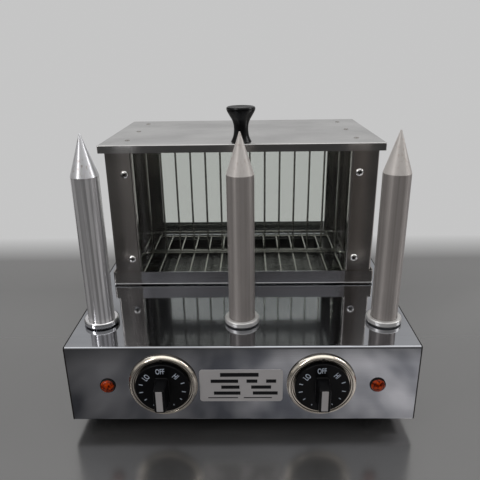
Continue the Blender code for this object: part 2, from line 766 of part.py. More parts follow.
def regulator(name, x):
    """Energy regulator body behind the panel, with a bore for its shaft and four tabs."""
    front = FRONT_Y + SEAT
    centre = (x, front + REGULATOR_DEPTH / 2, CONTROL_Z)
    size = (REGULATOR_SIZE, REGULATOR_DEPTH, REGULATOR_SIZE)
    body = box(f"energy_regulator_{name}", size, centre, BAKELITE)
    soften(body, REGULATOR_EDGE)
    for row in (-1, 1):
        for column in (-1, 1):
            tab_y = front + REGULATOR_DEPTH + TAB_LENGTH / 2 - WELD
            at = (x + column * TAB_OFFSET, tab_y, CONTROL_Z + row * TAB_OFFSET)
            fuse(body, box(f"tab_{name}_{row}_{column}", (TAB_WIDTH, TAB_LENGTH, TAB_THICKNESS), at))
    radius = SHAFT_RADIUS + CLEARANCE
    depth = 2 * (SHAFT_ENTRY + CLEARANCE)
    cut(body, cylinder(f"shaft_bore_{name}", radius, depth, (x, front, CONTROL_Z), FACING_FRONT))


def control(name, side):
    """One bezel with its knob, pointer, shaft and regulator; the knob turns about its shaft."""
    x = side * CONTROL_SPACING
    panel = (x, FRONT_Y, CONTROL_Z)
    turned(
        f"knob_bezel_{name}", bezel_profile(), NICKEL, panel, FACING_FRONT, SIDES_LARGE, ring=True
    )
    knob = turned(
        f"control_knob_{name}", dial_profile(), BLACK_PLASTIC, panel, FACING_FRONT, SIDES_LARGE
    )
    fuse(knob, place(grip(f"grip_{name}"), panel, FACING_FRONT))
    socket_y = FRONT_Y - DIAL_BACK
    cut(
        knob,
        cylinder(
            f"shaft_socket_{name}", SHAFT_RADIUS + CLEARANCE, 2 * SHAFT_GRIP,
            (x, socket_y, CONTROL_Z), FACING_FRONT, SIDES_SMALL,
        ),
    )
    recess = pointer_block(f"pointer_recess_{name}", CLEARANCE, 2 * POINTER_DEPTH, 0)
    cut(knob, place(recess, panel, FACING_FRONT))
    thickness = POINTER_DEPTH - CLEARANCE + POINTER_PROUD
    lift = POINTER_PROUD - thickness / 2
    pointer = pointer_block(f"knob_pointer_{name}", 0, thickness, lift, GREY_PLASTIC)
    place(pointer, panel, FACING_FRONT)
    shaft_top = DIAL_BACK + SHAFT_GRIP - CLEARANCE
    shaft_end = -(SEAT + SHAFT_ENTRY - CLEARANCE)
    shaft = [(0, shaft_top), (SHAFT_RADIUS, shaft_top), (SHAFT_RADIUS, shaft_end), (0, shaft_end)]
    turned(f"regulator_shaft_{name}", shaft, ZINC, panel, FACING_FRONT, SIDES_SMALL)
    regulator(name, x)


def lamp_profile():
    """A domed amber lens with a body that snaps through the panel."""
    rim = CLEARANCE + LAMP_RIM
    back = -(SEAT + CLEARANCE)
    dome_steps = CORNER_STEPS
    dome = []
    for step in range(dome_steps):
        angle = math.pi / 2 * (1 - step / dome_steps)
        radius = LAMP_LENS_RADIUS * math.cos(angle)
        dome.append((radius, rim + LAMP_DOME * math.sin(angle)))
    dome[0] = (0, rim + LAMP_DOME)
    return [
        *dome,
        (LAMP_LENS_RADIUS, rim),
        (LAMP_LENS_RADIUS, CLEARANCE),
        (LAMP_BODY_RADIUS, CLEARANCE),
        (LAMP_BODY_RADIUS, back),
        (LAMP_CATCH_RADIUS, back),
        (LAMP_BODY_RADIUS, back - LAMP_CATCH_LENGTH),
        (LAMP_BODY_RADIUS, -LAMP_BODY_LENGTH),
        (0, -LAMP_BODY_LENGTH),
    ]


def gland_profile():
    """A cord gland: a rounded nose outside the panel, a nut inside and a bore right through."""
    nose = CLEARANCE + GLAND_REACH
    inner = -(SEAT + CLEARANCE)
    shank = GLAND_SHANK_RADIUS
    return [
        (GLAND_BORE_RADIUS, nose),
        (GLAND_NOSE_RADIUS - GLAND_ROUND, nose),
        (GLAND_NOSE_RADIUS, nose - GLAND_ROUND),
        (GLAND_RADIUS, CLEARANCE + GLAND_REACH / 2),
        (GLAND_RADIUS, CLEARANCE),
        (shank, CLEARANCE),
        (shank, inner),
        (GLAND_NUT_RADIUS, inner),
        (GLAND_NUT_RADIUS, inner - GLAND_NUT_LENGTH),
        (GLAND_BORE_RADIUS, inner - GLAND_NUT_LENGTH),
    ]


def terminal_block():
    """A ceramic block on the bottom plate with a screw well for each way."""
    y = REAR_Y - TERMINAL_SETBACK
    z = PLATE_TOP_Z + CLEARANCE + TERMINAL_HEIGHT / 2
    size = (TERMINAL_WIDTH, TERMINAL_DEPTH, TERMINAL_HEIGHT)
    block = box("terminal_block", size, (TERMINAL_SIDE, y, z), CERAMIC)
    soften(block, TERMINAL_EDGE, 1)
    pitch = TERMINAL_WIDTH / TERMINAL_WAYS
    top = z + TERMINAL_HEIGHT / 2
    for way in range(TERMINAL_WAYS):
        x = TERMINAL_SIDE + (way - (TERMINAL_WAYS - 1) / 2) * pitch
        depth = 2 * TERMINAL_WELL_DEPTH
        well = cylinder(f"well_{way}", TERMINAL_WELL_RADIUS, depth, (x, y, top), sides=SIDES_SMALL)
        cut(block, well)


def front_panel_fittings():
    """Controls and lamps in front, the gland and terminals at the rear."""
    for name, side in (("left", -1), ("right", 1)):
        control(name, side)
        at = (side * LAMP_SPACING, FRONT_Y, DECK_Z - LAMP_DROP)
        turned(f"indicator_lamp_{name}", lamp_profile(), AMBER, at, FACING_FRONT, SIDES_SMALL)
    at = (GLAND_SIDE, REAR_Y - CLEARANCE, FOOT_HEIGHT + GLAND_HEIGHT)
    profile = gland_profile()
    turned("cord_gland", profile, BLACK_PLASTIC, at, FACING_REAR, SIDES_SMALL, ring=True)
    terminal_block()


def case_sides():
    """Folded side panels: a wall with a flange and a return lip at each end."""
    low = DECK_Z + CLEARANCE
    height = CASE_TOP_Z - low
    half = CASE_WIDTH / 2
    opening = half - CASE_FLANGE
    for name, side in (("left", -1), ("right", 1)):
        corners = [
            (side * opening, CASE_FRONT_Y + CASE_LIP),
            (side * opening, CASE_FRONT_Y),
            (side * half, CASE_FRONT_Y),
            (side * half, CASE_REAR_Y),
            (side * opening, CASE_REAR_Y),
            (side * opening, CASE_REAR_Y - CASE_LIP),
        ]
        middle = (0, 0, low + height / 2)
        panel = folded(
            f"case_side_{name}", corners, height, CASE_BEND, SHEET, CASE_STEEL, middle,
            inside=-side,
        )
        for level_name, level in (("lower", SCREW_LOW), ("upper", SCREW_HIGH)):
            at = (side * (half - SCREW_INSET), CASE_FRONT_Y, DECK_Z + level)
            hole = cylinder(
                f"screw_hole_{level_name}_{name}", SCREW_RADIUS + CLEARANCE, 2 * OVERRUN, at,
                FACING_FRONT, SIDES_TINY,
            )
            cut(panel, hole)


def foot_bands():
    """The stepped band round the foot of each side panel."""
    low = DECK_Z + BAND_LIFT
    height = BAND_TOP - BAND_LIFT
    half = CASE_WIDTH / 2 + BAND_STEP
    inner = CASE_WIDTH / 2 - CASE_FLANGE
    front = CASE_FRONT_Y - SEAT
    rear = CASE_REAR_Y + SEAT
    for name, side in (("left", -1), ("right", 1)):
        corners = [
            (side * inner, front),
            (side * half, front),
            (side * half, rear),
            (side * inner, rear),
        ]
        folded(
            f"case_foot_band_{name}", corners, height, CASE_BEND, SHEET, CASE_STEEL,
            (0, 0, low + height / 2), inside=-side,
        )


def case_rails():
    """Rails between the side panels: the low ones return at their foot, the others on top."""
    span = CASE_WIDTH - 2 * CASE_FLANGE - 2 * CLEARANCE
    low = DECK_Z + BAND_TOP
    low_height = BAND_TOP - BAND_LIFT
    rails = (
        ("front_rail", CASE_FRONT_Y - SEAT, 1, low, low_height, RAIL_RETURN),
        ("rear_rail", CASE_REAR_Y + SEAT, -1, low, low_height, RAIL_RETURN),
        ("front_top_rail", CASE_FRONT_Y, 1, CASE_TOP_Z, TOP_RAIL, TOP_RAIL_RETURN),
        ("rear_top_rail", CASE_REAR_Y, -1, CASE_TOP_Z, TOP_RAIL, TOP_RAIL_RETURN),
    )
    for name, face, inward, top, height, turn_in in rails:
        far = face + inward * turn_in
        if top == low:
            corners = [(far, top - height), (face, top - height), (face, top)]
        else:
            corners = [(face, top - height), (face, top), (far, top)]
        folded(
            name, corners, span, RAIL_BEND, SHEET, CASE_STEEL, (0, 0, 0), FACING_RIGHT, inward
        )


def glazing():
    """Panes on the deck behind the return lips, under the reach of the knob's screw."""
    width = CASE_WIDTH - 2 * CASE_FLANGE + 2 * GLASS_OVERLAP
    low = DECK_Z + CLEARANCE
    high = CASE_TOP_Z - KNOB_SCREW_HEAD - SEAT
    offset = CASE_LIP + CLEARANCE + GLASS / 2
    for name, y in (("front", CASE_FRONT_Y + offset), ("rear", CASE_REAR_Y - offset)):
        centre = (0, y, (low + high) / 2)
        soften(box(f"{name}_glass", (width, GLASS, high - low), centre, GLAZING), GLASS_EDGE, 1)


def case_screws():
    """Dome screws through the front flanges."""
    head = SCREW_HEAD_HEIGHT
    profile = [(0, CLEARANCE + head)]
    for step in range(1, CORNER_STEPS + 1):
        angle = math.pi / 2 * step / CORNER_STEPS
        radius = SCREW_HEAD_RADIUS * math.sin(angle)
        profile.append((radius, CLEARANCE + head * math.cos(angle)))
    profile += [
        (SCREW_RADIUS, CLEARANCE),
        (SCREW_RADIUS, -SHEET - SCREW_LENGTH),
        (0, -SHEET - SCREW_LENGTH),
    ]
    reach = CASE_WIDTH / 2 - SCREW_INSET
    for side_name, x in (("left", -reach), ("right", reach)):
        for level_name, level in (("lower", SCREW_LOW), ("upper", SCREW_HIGH)):
            at = (x, CASE_FRONT_Y, DECK_Z + level)
            name = f"case_screw_{level_name}_{side_name}"
            turned(name, profile, NICKEL, at, FACING_FRONT, SIDES_TINY)


def lid():
    """The pressed cap over the case, with its knob, screw and stiffeners."""
    at = (0, CASE_MID_Y, LID_TOP_Z)
    cap = pressed(
        "lid", LID_WIDTH, LID_DEPTH, LID_SKIRT, LID_CORNER, LID_BEND, SHEET, STAINLESS, at
    )
    knob_at = (0, CASE_MID_Y - LID_DEPTH / 2 + KNOB_SETBACK, LID_TOP_Z)
    cut(cap, cylinder("knob_hole", KNOB_SCREW_RADIUS + CLEARANCE, 2 * OVERRUN, knob_at))
    turned("lid_knob", lid_knob_profile(), BLACK_PLASTIC, knob_at, sides=SIDES_MEDIUM)
    head_top = -SHEET - CLEARANCE
    tip = KNOB_INSERT_DEPTH - CLEARANCE
    profile = [
        (0, tip),
        (KNOB_SCREW_RADIUS, tip),
        (KNOB_SCREW_RADIUS, head_top),
        (KNOB_SCREW_HEAD_RADIUS, head_top),
        (KNOB_SCREW_HEAD_RADIUS, head_top - KNOB_SCREW_HEAD),
        (0, head_top - KNOB_SCREW_HEAD),
    ]
    turned("lid_knob_screw", profile, ZINC, knob_at, sides=SIDES_SMALL)
    stiffeners()


def lid_knob_profile():
    """A flared round knob: narrow waist, wide dished top, blind hole below for its screw."""
    profile = [
        (KNOB_TOP_RADIUS * radius_share, KNOB_HEIGHT + KNOB_DISH * height_share)
        for radius_share, height_share in KNOB_TOP_SHARES
    ]
    steps = 2 * CORNER_STEPS
    widening = KNOB_TOP_RADIUS - KNOB_WAIST_RADIUS
    for step in range(steps + 1):
        share = step / steps
        height = KNOB_RIM_HEIGHT + (KNOB_WAIST_HEIGHT - KNOB_RIM_HEIGHT) * share
        radius = KNOB_WAIST_RADIUS + widening * (1 - share) ** KNOB_FLARE_POWER
        profile.append((radius, height))
    widening = KNOB_BASE_RADIUS - KNOB_WAIST_RADIUS
    for step in range(1, CORNER_STEPS):
        share = step / CORNER_STEPS
        radius = KNOB_WAIST_RADIUS + widening * share ** KNOB_FOOT_POWER
        profile.append((radius, KNOB_WAIST_HEIGHT * (1 - share)))
    bore = KNOB_SCREW_RADIUS + CLEARANCE
    profile += [
        (KNOB_BASE_RADIUS, CLEARANCE + SHEET),
        (KNOB_BASE_RADIUS, CLEARANCE),
        (bore, CLEARANCE),
        (bore, KNOB_INSERT_DEPTH),
        (0, KNOB_INSERT_DEPTH),
    ]
    return profile


def stiffeners():
    """Two hat sections riveted under the lid, front to back."""
    top = LID_TOP_Z - SEAT
    half = STIFFENER_CROWN / 2
    section = [
        (-half - STIFFENER_FOOT, top),
        (-half, top),
        (-half, top - STIFFENER_DROP),
        (half, top - STIFFENER_DROP),
        (half, top),
        (half + STIFFENER_FOOT, top),
    ]
    for name, side in (("left", -1), ("right", 1)):
        folded(
            f"lid_stiffener_{name}", section, STIFFENER_LENGTH, STIFFENER_BEND, STIFFENER_SHEET,
            STAINLESS, (side * STIFFENER_SPACING, CASE_MID_Y, 0), FACING_REAR, 1,
        )


def knuckle_cutter(name, parity):
    """Blocks where the other leaf's knuckles turn, as one cutter along the hinge."""
    bm = bmesh.new()
    width = HINGE_LENGTH / HINGE_KNUCKLES
    reach = 2 * (HINGE_KNUCKLE_RADIUS + HINGE_GAP)
    for index in range(parity, HINGE_KNUCKLES, 2):
        x = -HINGE_LENGTH / 2 + (index + 0.5) * width
        made = bmesh.ops.create_cube(bm, size=1.0)["verts"]
        first = index == 0
        last = index == HINGE_KNUCKLES - 1
        extra_low = OVERRUN if first else HINGE_GAP / 2
        extra_high = OVERRUN if last else HINGE_GAP / 2
        length = width + extra_low + extra_high
        bmesh.ops.scale(bm, vec=(length, 2 * reach, reach), verts=made)
        bmesh.ops.translate(bm, vec=(x + (extra_high - extra_low) / 2, 0, 0), verts=made)
    return place(mesh_object(name, bm), (0, HINGE_Y, HINGE_Z))


def hinge():
    """A piano hinge outside the rear of the lid: two leaves and a pin.

    The case leaf stands on two tabs over the side panels' flanges, clear of the window.
    """
    middle = (0, HINGE_Y, HINGE_Z)
    cylinder(
        "hinge_pin", HINGE_PIN_RADIUS, HINGE_LENGTH, middle, FACING_RIGHT, SIDES_WIRE, STAINLESS
    )
    lid_face = HINGE_Y - HINGE_PIN_STANDOFF + CLEARANCE
    height = HINGE_LEAF_LOW + HINGE_LEAF_HIGH
    centre_z = HINGE_Z + (HINGE_LEAF_HIGH - HINGE_LEAF_LOW) / 2
    size = (HINGE_LENGTH, HINGE_LEAF, height)
    lid_leaf = box("hinge_leaf_lid", size, (0, lid_face + HINGE_LEAF / 2, centre_z), STAINLESS)
    back = HINGE_Y + HINGE_KNUCKLE_RADIUS
    seat = CASE_REAR_Y + CLEARANCE + HINGE_LEAF
    corners = [
        (back, HINGE_Z),
        (back, HINGE_Z - HINGE_JOGGLE_TOP),
        (seat, HINGE_Z - HINGE_JOGGLE_BOTTOM),
        (seat, HINGE_Z - HINGE_TAIL),
    ]
    case_leaf = folded(
        "hinge_leaf_case", corners, HINGE_LENGTH, HINGE_BEND, HINGE_LEAF, STAINLESS,
        (0, 0, 0), FACING_RIGHT, 1,
    )
    between = CASE_WIDTH - 2 * CASE_FLANGE + 2 * HINGE_TAB_GAP
    size = (between, HINGE_TAIL, HINGE_TAIL)
    below = (0, HINGE_Y, HINGE_Z - HINGE_WEB - HINGE_TAIL / 2)
    cut(case_leaf, box("leaf_window", size, below))
    for name, leaf, parity in (("lid", lid_leaf, 0), ("case", case_leaf, 1)):
        barrel = cylinder(
            f"barrel_{name}", HINGE_KNUCKLE_RADIUS, HINGE_LENGTH, middle, FACING_RIGHT, SIDES_TINY
        )
        fuse(leaf, barrel)
        cut(leaf, knuckle_cutter(f"knuckle_gaps_{name}", parity))
        bore = HINGE_PIN_RADIUS + CLEARANCE
        length = HINGE_LENGTH + 2 * OVERRUN
        cut(leaf, cylinder(f"pin_bore_{name}", bore, length, middle, FACING_RIGHT, SIDES_WIRE))


def water_pan():
    """A shallow tray hung by its flange in the deck opening, and the element under it."""
    bm = bmesh.new()
    inner_width = PAN_OPENING_WIDTH - 2 * (CLEARANCE + PAN_SHEET)
    inner_depth = PAN_OPENING_DEPTH - 2 * (CLEARANCE + PAN_SHEET)
    floor = filleted(rectangle(inner_width, inner_depth), PAN_CORNER, CORNER_STEPS, closed=True)
    plate = bm.faces.new([bm.verts.new((p.x, p.y, 0)) for p in floor])
    floor_edges = list(plate.edges)
    wall_height = PAN_DEPTH + CLEARANCE + PAN_SHEET
    walls = bmesh.ops.extrude_edge_only(bm, edges=floor_edges)["geom"]
    rim = [item for item in walls if isinstance(item, bmesh.types.BMVert)]
    wall_edges = [item for item in walls if isinstance(item, bmesh.types.BMEdge)]
    rim_edges = [edge for edge in wall_edges if all(vert in rim for vert in edge.verts)]
    bmesh.ops.translate(bm, vec=(0, 0, wall_height), verts=rim)
    flange = bmesh.ops.extrude_edge_only(bm, edges=rim_edges)["geom"]
    outer = [item for item in flange if isinstance(item, bmesh.types.BMVert)]
    for vertex in outer:
        vertex.co.x += math.copysign(PAN_FLANGE, vertex.co.x)
        vertex.co.y += math.copysign(PAN_FLANGE, vertex.co.y)
    bmesh.ops.bevel(
        bm, geom=floor_edges, offset=PAN_BEND, segments=BEND_STEPS, profile=0.5, affect="EDGES"
    )
    bmesh.ops.recalc_face_normals(bm, faces=bm.faces)
    pan = mesh_object("water_pan", bm, STAINLESS)
    thicken(pan, PAN_SHEET)
    place(pan, (0, CASE_MID_Y, DECK_Z - PAN_DEPTH))
    element_z = DECK_Z - PAN_DEPTH - PAN_SHEET - CLEARANCE - ELEMENT_RADIUS
    half_width = PAN_OPENING_WIDTH / 2 - ELEMENT_SIDE_INSET
    half_depth = PAN_OPENING_DEPTH / 2 - ELEMENT_END_INSET
    route = [
        (ELEMENT_GAP / 2, half_depth),
        (half_width, half_depth),
        (half_width, -half_depth),
        (-half_width, -half_depth),
        (-half_width, half_depth),
        (-ELEMENT_GAP / 2, half_depth),
    ]
    points = [(p.x, p.y, 0) for p in filleted(route, ELEMENT_CORNER, CORNER_STEPS)]
    element = wire_mesh("heating_element", points, ELEMENT_RADIUS, SHEATH)
    place(element, (0, CASE_MID_Y, element_z))


def straight_wire(name, start, end, radius, material=None):
    """A round wire between two points."""
    start = Vector(start)
    end = Vector(end)
    run = end - start
    bm = bmesh.new()
    bmesh.ops.create_cone(
        bm, cap_ends=True, segments=SIDES_WIRE, radius1=radius, radius2=radius, depth=run.length
    )
    turn = run.to_track_quat("Z", "Y").to_matrix()
    return place(mesh_object(name, bm, material), (start + end) / 2, turn)


def wire_positions():
    """Where the grid wires stand across the basket."""
    return [(index - (WIRE_COUNT - 1) / 2) * WIRE_PITCH for index in range(WIRE_COUNT)]


def basket_floor():
    """Grid of wires on two bearers, under two rounded rim loops that leave a slot between them."""
    pan_top = DECK_Z + CLEARANCE + PAN_SHEET
    bearer_z = pan_top + CLEARANCE + FLOOR_WIRE_RADIUS
    floor_z = bearer_z + 2 * FLOOR_WIRE_RADIUS - WELD
    rim_z = floor_z + FLOOR_WIRE_RADIUS + RIM_WIRE_RADIUS - WELD
    front = CASE_MID_Y - BASKET_DEPTH / 2
    rear = CASE_MID_Y + BASKET_DEPTH / 2
    slot_y = CASE_MID_Y + DIVIDER_SHIFT
    loops = (
        ("front", front + RIM_WIRE_RADIUS, slot_y - DIVIDER_SLOT / 2),
        ("rear", slot_y + DIVIDER_SLOT / 2, rear - RIM_WIRE_RADIUS),
    )
    grid = None
    for name, near, far in loops:
        corners = rectangle(BASKET_RIM_WIDTH, far - near, (0, (near + far) / 2))
        path = filleted(corners, BASKET_CORNER, CORNER_STEPS, closed=True)
        points = [(p.x, p.y, rim_z) for p in path]
        node = "basket_floor" if grid is None else f"rim_{name}"
        material = WIRE_STEEL if grid is None else None
        loop = wire_mesh(node, points, RIM_WIRE_RADIUS, material, closed=True)
        if grid is None:
            grid = loop
        else:
            fuse(grid, loop)
    for index, x in enumerate(wire_positions()):
        ends = ((x, front, floor_z), (x, rear, floor_z))
        fuse(grid, straight_wire(f"floor_wire_{index}", *ends, FLOOR_WIRE_RADIUS))
    half = wire_positions()[-1] + WIRE_OVERHANG
    for name, y in (("front", front + BEARER_INSET), ("rear", rear - BEARER_INSET)):
        ends = ((-half, y, bearer_z), (half, y, bearer_z))
        fuse(grid, straight_wire(f"bearer_{name}", *ends, FLOOR_WIRE_RADIUS))
    return floor_z + FLOOR_WIRE_RADIUS, slot_y


def basket_divider(floor_top, slot_y):
    """A lift-out grille that stands in the slot between the rim loops."""
    low = floor_top + CLEARANCE + RIM_WIRE_RADIUS
    high = DECK_Z + DIVIDER_HEIGHT
    half = wire_positions()[-1] + WIRE_OVERHANG
    bottom = ((-half, slot_y, low), (half, slot_y, low))
    grille = straight_wire("basket_divider", *bottom, RIM_WIRE_RADIUS, WIRE_STEEL)
    top = ((-half, slot_y, high), (half, slot_y, high))
    fuse(grille, straight_wire("divider_top", *top, RIM_WIRE_RADIUS))
    for index, x in enumerate(wire_positions()):
        ends = ((x, slot_y, low), (x, slot_y, high))
        fuse(grille, straight_wire(f"divider_wire_{index}", *ends, FLOOR_WIRE_RADIUS))


def build():
    base_wrapper()
    base_sides()
    base_floor()
    bun_spikes()
    front_panel_fittings()
    case_sides()
    foot_bands()
    case_rails()
    glazing()
    case_screws()
    lid()
    hinge()
    water_pan()
    floor_top, slot_y = basket_floor()
    basket_divider(floor_top, slot_y)


build()
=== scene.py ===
"""The looks of a countertop hot dog and bun warmer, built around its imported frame.

Every piece is made in metres in the frame's own axes: +Z is up and the front panel
faces -Y. Pieces take their places from the frame's nodes, and keep their origin at
the frame's origin, so that object coordinates in a material are places on the object.
"""

import math

import bmesh
import bpy
from mathutils import Matrix, Vector


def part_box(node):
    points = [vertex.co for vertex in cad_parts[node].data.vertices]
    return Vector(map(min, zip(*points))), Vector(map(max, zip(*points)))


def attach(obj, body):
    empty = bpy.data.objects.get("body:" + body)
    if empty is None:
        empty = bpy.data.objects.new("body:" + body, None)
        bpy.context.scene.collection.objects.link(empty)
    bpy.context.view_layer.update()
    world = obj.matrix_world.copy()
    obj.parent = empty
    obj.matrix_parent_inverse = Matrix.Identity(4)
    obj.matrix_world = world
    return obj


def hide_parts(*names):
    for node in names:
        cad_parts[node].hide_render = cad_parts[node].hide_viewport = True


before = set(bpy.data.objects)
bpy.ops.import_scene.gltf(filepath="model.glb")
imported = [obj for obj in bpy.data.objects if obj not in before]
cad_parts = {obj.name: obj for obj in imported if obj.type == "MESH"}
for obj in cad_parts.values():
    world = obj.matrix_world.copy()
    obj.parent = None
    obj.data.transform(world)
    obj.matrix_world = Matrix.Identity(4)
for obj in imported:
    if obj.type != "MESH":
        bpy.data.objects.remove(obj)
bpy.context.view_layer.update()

# Sheet metal
SHEET = 0.0012
BEND_STEPS = 8
BASE_BEND = 0.0022
BASE_LIP = 0.015
PAN_FLANGE = 0.0135
END_BEND = 0.0012
CASE_BEND = 0.0020
CASE_LIP = 0.008
RAIL_BEND = 0.0014
HEM_RADIUS = 0.0005
# Near-black wire of painted shade in the wrapper's joints: its radius and how far it stands proud
SEAM_SHADE_RADIUS = 0.0009
SEAM_SHADE_PROUD = 0.0002
LID_BEND = 0.0014
LID_CORNER = 0.0016

# Meshes: sides of round pieces, the angle of a sharp edge in degrees, small distances
DIAL_SIDES = 128
TURNED_SIDES = 96
GLAND_SIDES = 64
SHADE_RING_SIDES = 64
FOOT_SIDES = 48
SCREW_SIDES = 48
RIVET_SIDES = 32
LENS_SIDES = 24
HEM_SIDES = 16
WIRE_SIDES = 12
SEAM_SHADE_SIDES = 8
SHARP_ANGLE = 30
EASED_EDGE = 0.0001
FIT_GAP = 0.0003
MERGE_DISTANCE = 0.000005

# Feet
FOOT_EDGE = 0.0015
FOOT_TAPER_SHARE = 0.83

# Spikes and collars: a spike's finish, and its collar's
SPIKE_CONE = 0.0395
SPIKE_TIP = 0.0007
SPIKE_SHARP_ANGLE = 15
SHANK_SHARE = 0.7
COLLAR_ROUND = 0.0016
COLLAR_EDGE = 0.0003
COLLAR_FOOT_RADIUS = 0.0145
COLLAR_FOOT_HEIGHT = 0.0006
COLLAR_FLARE_HEIGHT = 0.0006
SPIKE_FINISHES = (
    ("left", "polished", "bright"), ("centre", "dull", "collar"), ("right", "dull", "collar"),
)

# Radius and height of the bezel's ring, as shares of its own
BEZEL_SHARES = (
    (0.20, 0.22), (0.815, 0.22), (0.820, 0.74), (0.872, 0.76), (0.882, 0.93), (0.905, 1.0),
    (0.930, 0.97), (0.955, 0.84), (0.978, 0.62), (1.0, 0.32), (1.0, 0.0), (0.20, 0.0),
)
# The bezel's notch, drawn as a near-black block of painted shade
NOTCH_WIDTH = 0.0022
NOTCH_LENGTH = 0.0030
NOTCH_HEIGHT = 0.0010
NOTCH_CORNER = 0.0003
NOTCH_RADIUS_SHARE = 0.875
NOTCH_LEVEL_SHARE = 0.80

# Dial and grip: the grip's foot and face are a width, a length and a shift
DIAL_FACE = 0.0070
DIAL_EDGE = 0.0009
GRIP_HEIGHT = 0.0178
GRIP_FOOT = (0.0115, 0.0275, -0.0022)
GRIP_FACE = (0.0105, 0.0235, -0.0012)
GRIP_CORNER = 0.0020
GRIP_ROUND = 0.0008
GRIP_FILLET = 0.0012
POINTER_CORNER = 0.0004

# Print: each word and its angle in degrees, each tick's angle and length
INK_HEIGHT = 0.00005
LETTER_SIZE = 0.0080
LETTER_RADIUS = 0.0186
LETTER_WIDTH_SHARE = 0.60
LETTER_SWELL = 0.00006
LETTER_MERGE_DISTANCE = 0.000002
DIAL_WORDS = (("OFF", 3), ("LO", 49), ("HI", -44))
TICK_RADIUS = 0.0202
TICK_WIDTH = 0.0008
TICKS = (
    (77, 0.0036), (101, 0.0036), (126, 0.0024), (153, 0.0012),
    (-72, 0.0036), (-99, 0.0036), (-124, 0.0022), (-151, 0.0014),
)

# Lamps, and the plain data plate with the middle and size of each printed field
LENS_SHARP_ANGLE = 12
LENS_RIM_SHARE = 0.3
# Near-black ring of painted shadow round each lamp: its width, and its outer height as a share of
# the lens rim
SHADE_RING_WIDTH = 0.0009
SHADE_RING_SHARE = 0.6
PLATE_WIDTH = 0.078
PLATE_HEIGHT = 0.035
PLATE_CENTRE_X = -0.001
PLATE_DROP = 0.0415
PLATE_THICKNESS = 0.0004
PLATE_CORNER = 0.003
FIELD_SHARES = (
    (-0.02, 0.345, 0.46, 0.12), (-0.20, 0.145, 0.33, 0.105), (0.13, 0.145, 0.13, 0.105),
    (0.36, 0.145, 0.12, 0.105), (-0.13, -0.045, 0.22, 0.105), (0.24, -0.045, 0.24, 0.105),
    (-0.17, -0.235, 0.32, 0.105), (0.29, -0.235, 0.30, 0.105), (-0.22, -0.385, 0.36, 0.030),
    (0.20, -0.385, 0.34, 0.030),
)

# Screws: how far each recess is turned in degrees
SCREW_DOME = 0.0026
SCREW_RADIUS = 0.0043
SCREW_SHANK = 0.006
SCREW_SHANK_SHARE = 0.45
RECESS_WIDTH = 0.0013
RECESS_LENGTH = 0.0052
RECESS_DEPTH = 0.0022
RECESS_SKIN = 0.00008
RECESS_REACH_SHARE = 0.52
SCREW_TURNS = (("lower", 20), ("upper", 55))
FRONT_TURN = 20
REAR_TURN = -30

# Rails, and 1 for those that fold towards the rear
RAILS = (("front_rail", 1), ("rear_rail", -1), ("front_top_rail", 1), ("rear_top_rail", -1))

# Radius and height of the lid's knob, as shares of its own, and its stretch to smooth
KNOB_SHARES = (
    (0.0, 0.967), (0.55, 0.967), (0.80, 0.985), (0.90, 1.0), (0.97, 0.985), (1.0, 0.955),
    (1.0, 0.92), (0.943, 0.856), (0.774, 0.732), (0.616, 0.624), (0.519, 0.50), (0.493, 0.382),
    (0.508, 0.268), (0.553, 0.149), (0.641, 0.058), (0.717, 0.0), (0.13, 0.0), (0.13, 0.35),
    (0.0, 0.35),
)
KNOB_FLARE = (5, 16)

# Rivets, and how far behind the lid's front edge they sit
RIVET_RADIUS = 0.0028
RIVET_DOME = 0.0007
RIVET_PLACES = (0.031, 0.095, 0.160)

# Wire basket
FLOOR_WIRE = 0.0012
RIM_WIRE = 0.0015
BASKET_CORNER = 0.010
BEARER_INSET = 0.010
WIRE_PITCH = 0.0182
WIRE_COUNT = 14
WIRE_OVERHANG = 0.0045
DIVIDER_SLOT = 0.0070

# Cord gland: its bore, neck, head and groove as shares of its radius
GLAND_BORE_SHARE = 0.43
GLAND_NECK_SHARE = 0.70
GLAND_HEAD_SHARE = 0.95
GLAND_GROOVE_SHARE = 0.74
GLAND_TAPER_SHARE = 0.5
GLAND_ROUND = 0.0015
GLAND_EDGE = 0.0005

# Finishes of the nodes whose own shape is kept
KEPT = {
    # The base's bottom plate is near black: painted shade under the base
    "underside": ("base_bottom_plate",),
    "zinc": ("lid_knob_screw", "spike_nut_left", "spike_nut_centre",
             "spike_nut_right", "regulator_shaft_left", "regulator_shaft_right"),
    "sheath": ("spike_heater_left", "spike_heater_centre", "spike_heater_right", "heating_element"),
    "bakelite": ("energy_regulator_left", "energy_regulator_right"),
    "ceramic": ("terminal_block",),
    "glass": ("front_glass", "rear_glass"),
    "pan": ("water_pan",),
    "lid": ("lid_stiffener_left", "lid_stiffener_right", "hinge_leaf_lid", "hinge_leaf_case",
            "hinge_pin"),
}

# Phenolic black, and the stretch of a noise for grain that runs along X or Z
BLACK = (0.003, 0.003, 0.0035)
ALONG_X = (14, 2600, 2600)
ALONG_Z = (2600, 2600, 14)

# Depths of fine relief
GRAIN_DEPTH = 0.0000002
SWAY_DEPTH = 0.00012
LID_SWAY_DEPTH = 0.0006
RING_DEPTH = 0.000002
STREAK_DEPTH = 0.000004
FACET_DEPTH = 0.0004

# Half height of the change from bar to cone, and how far up the cone stains grow
CONE_BLEND = 0.0002
STAIN_REACH = 0.035

# Quarter turn that draws highlights out along a turned bar
AXIAL = 0.25

# Camera: where the photograph was taken from, worked out from the base's own corners
CAMERA_FROM_FRONT = Vector((0.00799, -0.40411, 0.25428))
CAMERA_PITCH = math.radians(20.663)
CAMERA_YAW = math.radians(-1.055)
CAMERA_ROLL = math.radians(-0.831)
CAMERA_LENS = 38.585
CAMERA_SHIFT_SHARES = (-0.00149, 0.00514)
CAMERA_CLIP = (0.01, 100.0)
SENSOR = 36.0

